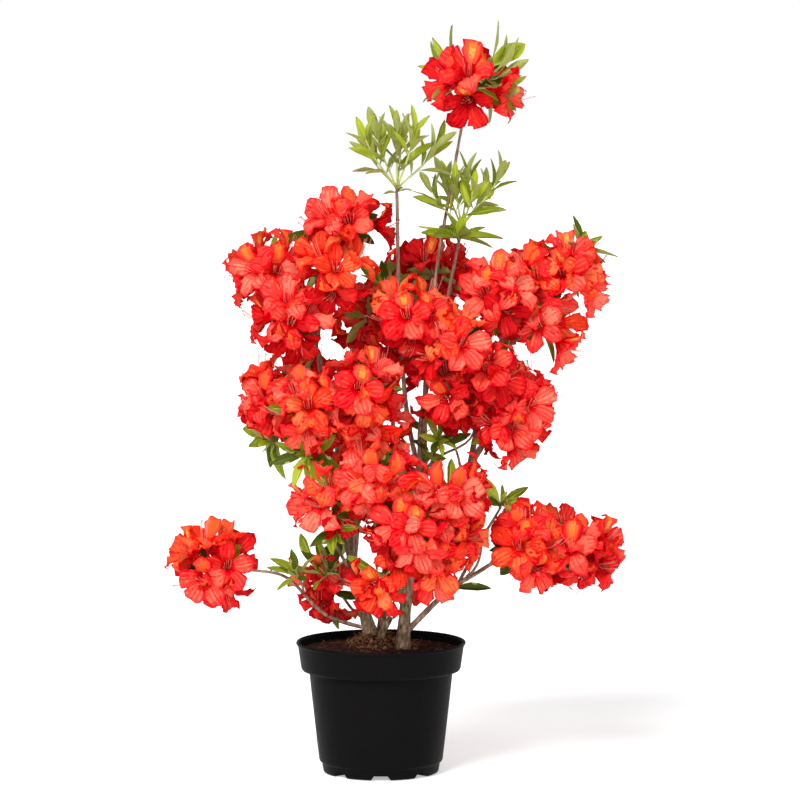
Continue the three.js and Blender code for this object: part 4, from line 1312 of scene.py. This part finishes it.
# %% Bare twigs
BARE_TWIGS = [
    ("stem_right", 0.96, (104, -34, 394)), ("bough_right", 0.42, (76, -36, 402)),
    ("bough_far_right", 0.35, (128, -34, 258)), ("bough_far_right", 0.48, (112, -40, 268)),
    ("stem_left", 0.30, (-30, -22, 268)), ("stem_left", 0.22, (-66, -16, 250)),
]
for name, share, end in BARE_TWIGS:
    start, end = limbs[name].at(share), np.array(end, float)
    twig = Twig(start, limbs[name].along(share) + 0.4 * unit(end - start), end, (0, 0, 1), (1.7, 1.1))
    twigs.add(*tube(twig, 6, 10), WOOD)
    add_knob(end, 1.9)
print(len(BARE_TWIGS), "bare twigs")

# %% [markdown]
# ## The pieces of the plant
# All that grew is still in sheaves. Each becomes one mesh here, and takes the place of the model's masses:
# the blossom that of the masses with heads, and the foliage that of the shoots.

# %% Build the pieces
sheaves = (*blossoms, threads, foliage, twigs)
*blossom_pieces, thread_piece, foliage_piece, twig_piece = (sheaf.build() for sheaf in sheaves)
for piece in (*blossom_pieces, thread_piece):
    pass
flowering = [name for name, row in BRANCHES.items() if row[4]]
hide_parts(*("trusses_" + name for name in flowering))
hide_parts(*(name for name in BRANCHES if name not in flowering))

# %% [markdown]
# ## Compost
# The pot is filled with moist peat compost, dark red-brown and crumbly, heaped a little round the stems. It
# could be sculpted by hand, but the mound's height is known from the model. So a dense disc is extruded ring
# by ring as the pot was, and its top points follow the mound, plus noise for the lumps that fades out at the
# pot's wall.

# %% Compost surface
def mound(x, y):
    """The height of the compost's surface in millimetres, as in the model."""
    away = math.hypot(x + 8, y - 8) / 38
    return 138 + 15 * math.exp(-away * away)


compost_profile = [(4, 126), (60, 126), (88, 127), (90.6, 133), (91.1, 137.6)]
compost_profile += [(91.1 - 1.6 * i, 138) for i in range(1, 56)] + [(1.2, 138)]
soil = extrude_ring(compost_profile, 120)
soil.name = "compost"
for vertex in soil.data.vertices:
    x, y, z = vertex.co / MM
    if z > 137:
        lumps = 1.5 * noise.noise((x * 0.16, y * 0.16, 0)) + 1.0 * noise.noise((x * 0.45, y * 0.45, 5))
        edge = min(1.0, (91.5 - math.hypot(x, y)) / 6)
        vertex.co.z = (mound(x, y) - 1 + (lumps + 0.6 * noise.noise((x * 1.1, y * 1.1, 9))) * edge) * MM
print("compost faces", len(soil.data.polygons))

# %% Compost finish
peat = Paint("moist_peat", Specular_IOR_Level=0.15)
crumbs_tone = peat.grain(0.0028, 6, 0.7)
peat.use(
    Base_Color=peat.ramp(
        crumbs_tone,
        (0.38, (0.004, 0.001, 0.001)), (0.5, (0.016, 0.005, 0.003)),
        (0.64, (0.050, 0.016, 0.009)), (0.8, (0.14, 0.055, 0.03)),
    ),
    Roughness=0.85,
)
peat.relief(peat.grain(0.0012, 4, 0.7), 0.0012)
soil.data.materials.append(peat.material)
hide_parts("soil")
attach(soil, "root")
bpy.ops.object.select_all(action="DESELECT")
print("compost finish has", len(peat.tree.nodes), "nodes")

# %% [markdown]
# ## Crumbs and fibres
# Compost is never quite smooth: crumbs of peat and bark lie on it, with fibres between them, and a loose heap
# of litter gathers round the stems. A particle system could scatter them, and would then have to be made real
# and joined. A loop puts each one straight into a sheaf, and a crumb needs no more than an octahedron.

# %% Crumbs
CRUMBS, REACH = 2400, 89.5
OCTAHEDRON = np.array([(1, 0, 0), (-1, 0, 0), (0, 1, 0), (0, -1, 0), (0, 0, 1), (0, 0, -1)], float)
OCTA_FACES = [(0, 2, 4), (2, 1, 4), (1, 3, 4), (3, 0, 4), (2, 0, 5), (1, 2, 5), (3, 1, 5), (0, 3, 5)]
PEAT, CHIP, PALE = 0, 1, 2

chip = Paint("bark_chip", Base_Color=(0.060, 0.015, 0.008), Roughness=0.85, Specular_IOR_Level=0.15)
pale_fibre = Paint("pale_fibre", Base_Color=(0.22, 0.105, 0.05), Roughness=0.8, Specular_IOR_Level=0.15)
litter = Sheaf("crumbs_and_fibres", [peat.material, chip.material, pale_fibre.material])
draw = seeded(77)
for _ in range(CRUMBS):
    angle, away = draw() * 6.28, REACH * math.sqrt(draw())
    x, y = away * math.cos(angle), away * math.sin(angle)
    size = np.array([0.5 + 1.5 * draw() ** 2, 0.5 + 1.1 * draw() ** 2, 0.4 + 0.7 * draw()])
    turned = (OCTAHEDRON * size * (0.8 + 0.4 * draw())) @ standing(facing(draw() * 360, draw() * 90)).T
    kind = (PEAT, PEAT, CHIP, PEAT, CHIP, CHIP)[int(draw() * 6)]
    litter.add(turned + np.array([x, y, mound(x, y) - 0.4]), OCTA_FACES, kind)
print(CRUMBS, "crumbs")

# %% Fibres
FIBRES, FIBRE_REACH, WALL = 520, 88, 89

for _ in range(FIBRES):
    angle, away = draw() * 6.28, FIBRE_REACH * draw() ** 0.75
    x, y = away * math.cos(angle) - 2, away * math.sin(angle) + 2
    if math.hypot(x, y) > FIBRE_REACH:
        continue
    way = facing(draw() * 360, -10 + 34 * draw())
    start = np.array([x, y, mound(x, y) - 0.4])
    end = start + way * (4 + 9 * draw())
    end[2] = max(end[2], mound(*end[:2]) - 0.5) if math.hypot(*end[:2]) < WALL else start[2]
    if math.hypot(*end[:2]) > WALL:
        continue
    fibre = Twig(start, way + facing(draw() * 360, 30) * 0.5, end, way, (0.32, 0.16))
    litter.add(*tube(fibre, 3, 4), PALE if draw() < 0.15 else CHIP)
print("crumbs and fibres have", litter.count, "points")

# %% Litter round the stems
LITTER, HEAP = 900, 9

for i in range(LITTER):
    angle, away = draw() * 6.28, 40 * draw() ** 0.6
    x, y = 2 + away * math.cos(angle), 6 + away * math.sin(angle)
    height = HEAP * math.exp(-((away / 24) ** 2)) * draw()
    way = facing(draw() * 360, -20 + 70 * draw())
    start = np.array([x, y, mound(x, y) - 0.6 + height])
    fibre = Twig(start, way, start + way * (3 + 6 * draw()), facing(draw() * 360, 20), (0.42, 0.2))
    litter.add(*tube(fibre, 3, 3), (PALE, PALE, CHIP)[int(draw() * 3)])
    if i % 2:
        turned = (OCTAHEDRON * (1 + 1.6 * draw())) @ standing(way).T
        kind = (CHIP, PALE, PEAT)[int(draw() * 3)]
        litter.add(turned + np.array([x, y, mound(x, y) - 1 + height * 0.8]), OCTA_FACES, kind)
litter_piece = litter.build()

# %% [markdown]
# ## Sizes
# The boxes of the model and of the dressed shrub are both collected, so that they can be compared. The
# dressed shrub has to fill the same box as the model.

# %% Measure and finish
boxes = {"model": MODEL_BOX, "visual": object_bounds()}
{key: [list(corner) for corner in box] for key, box in boxes.items()}
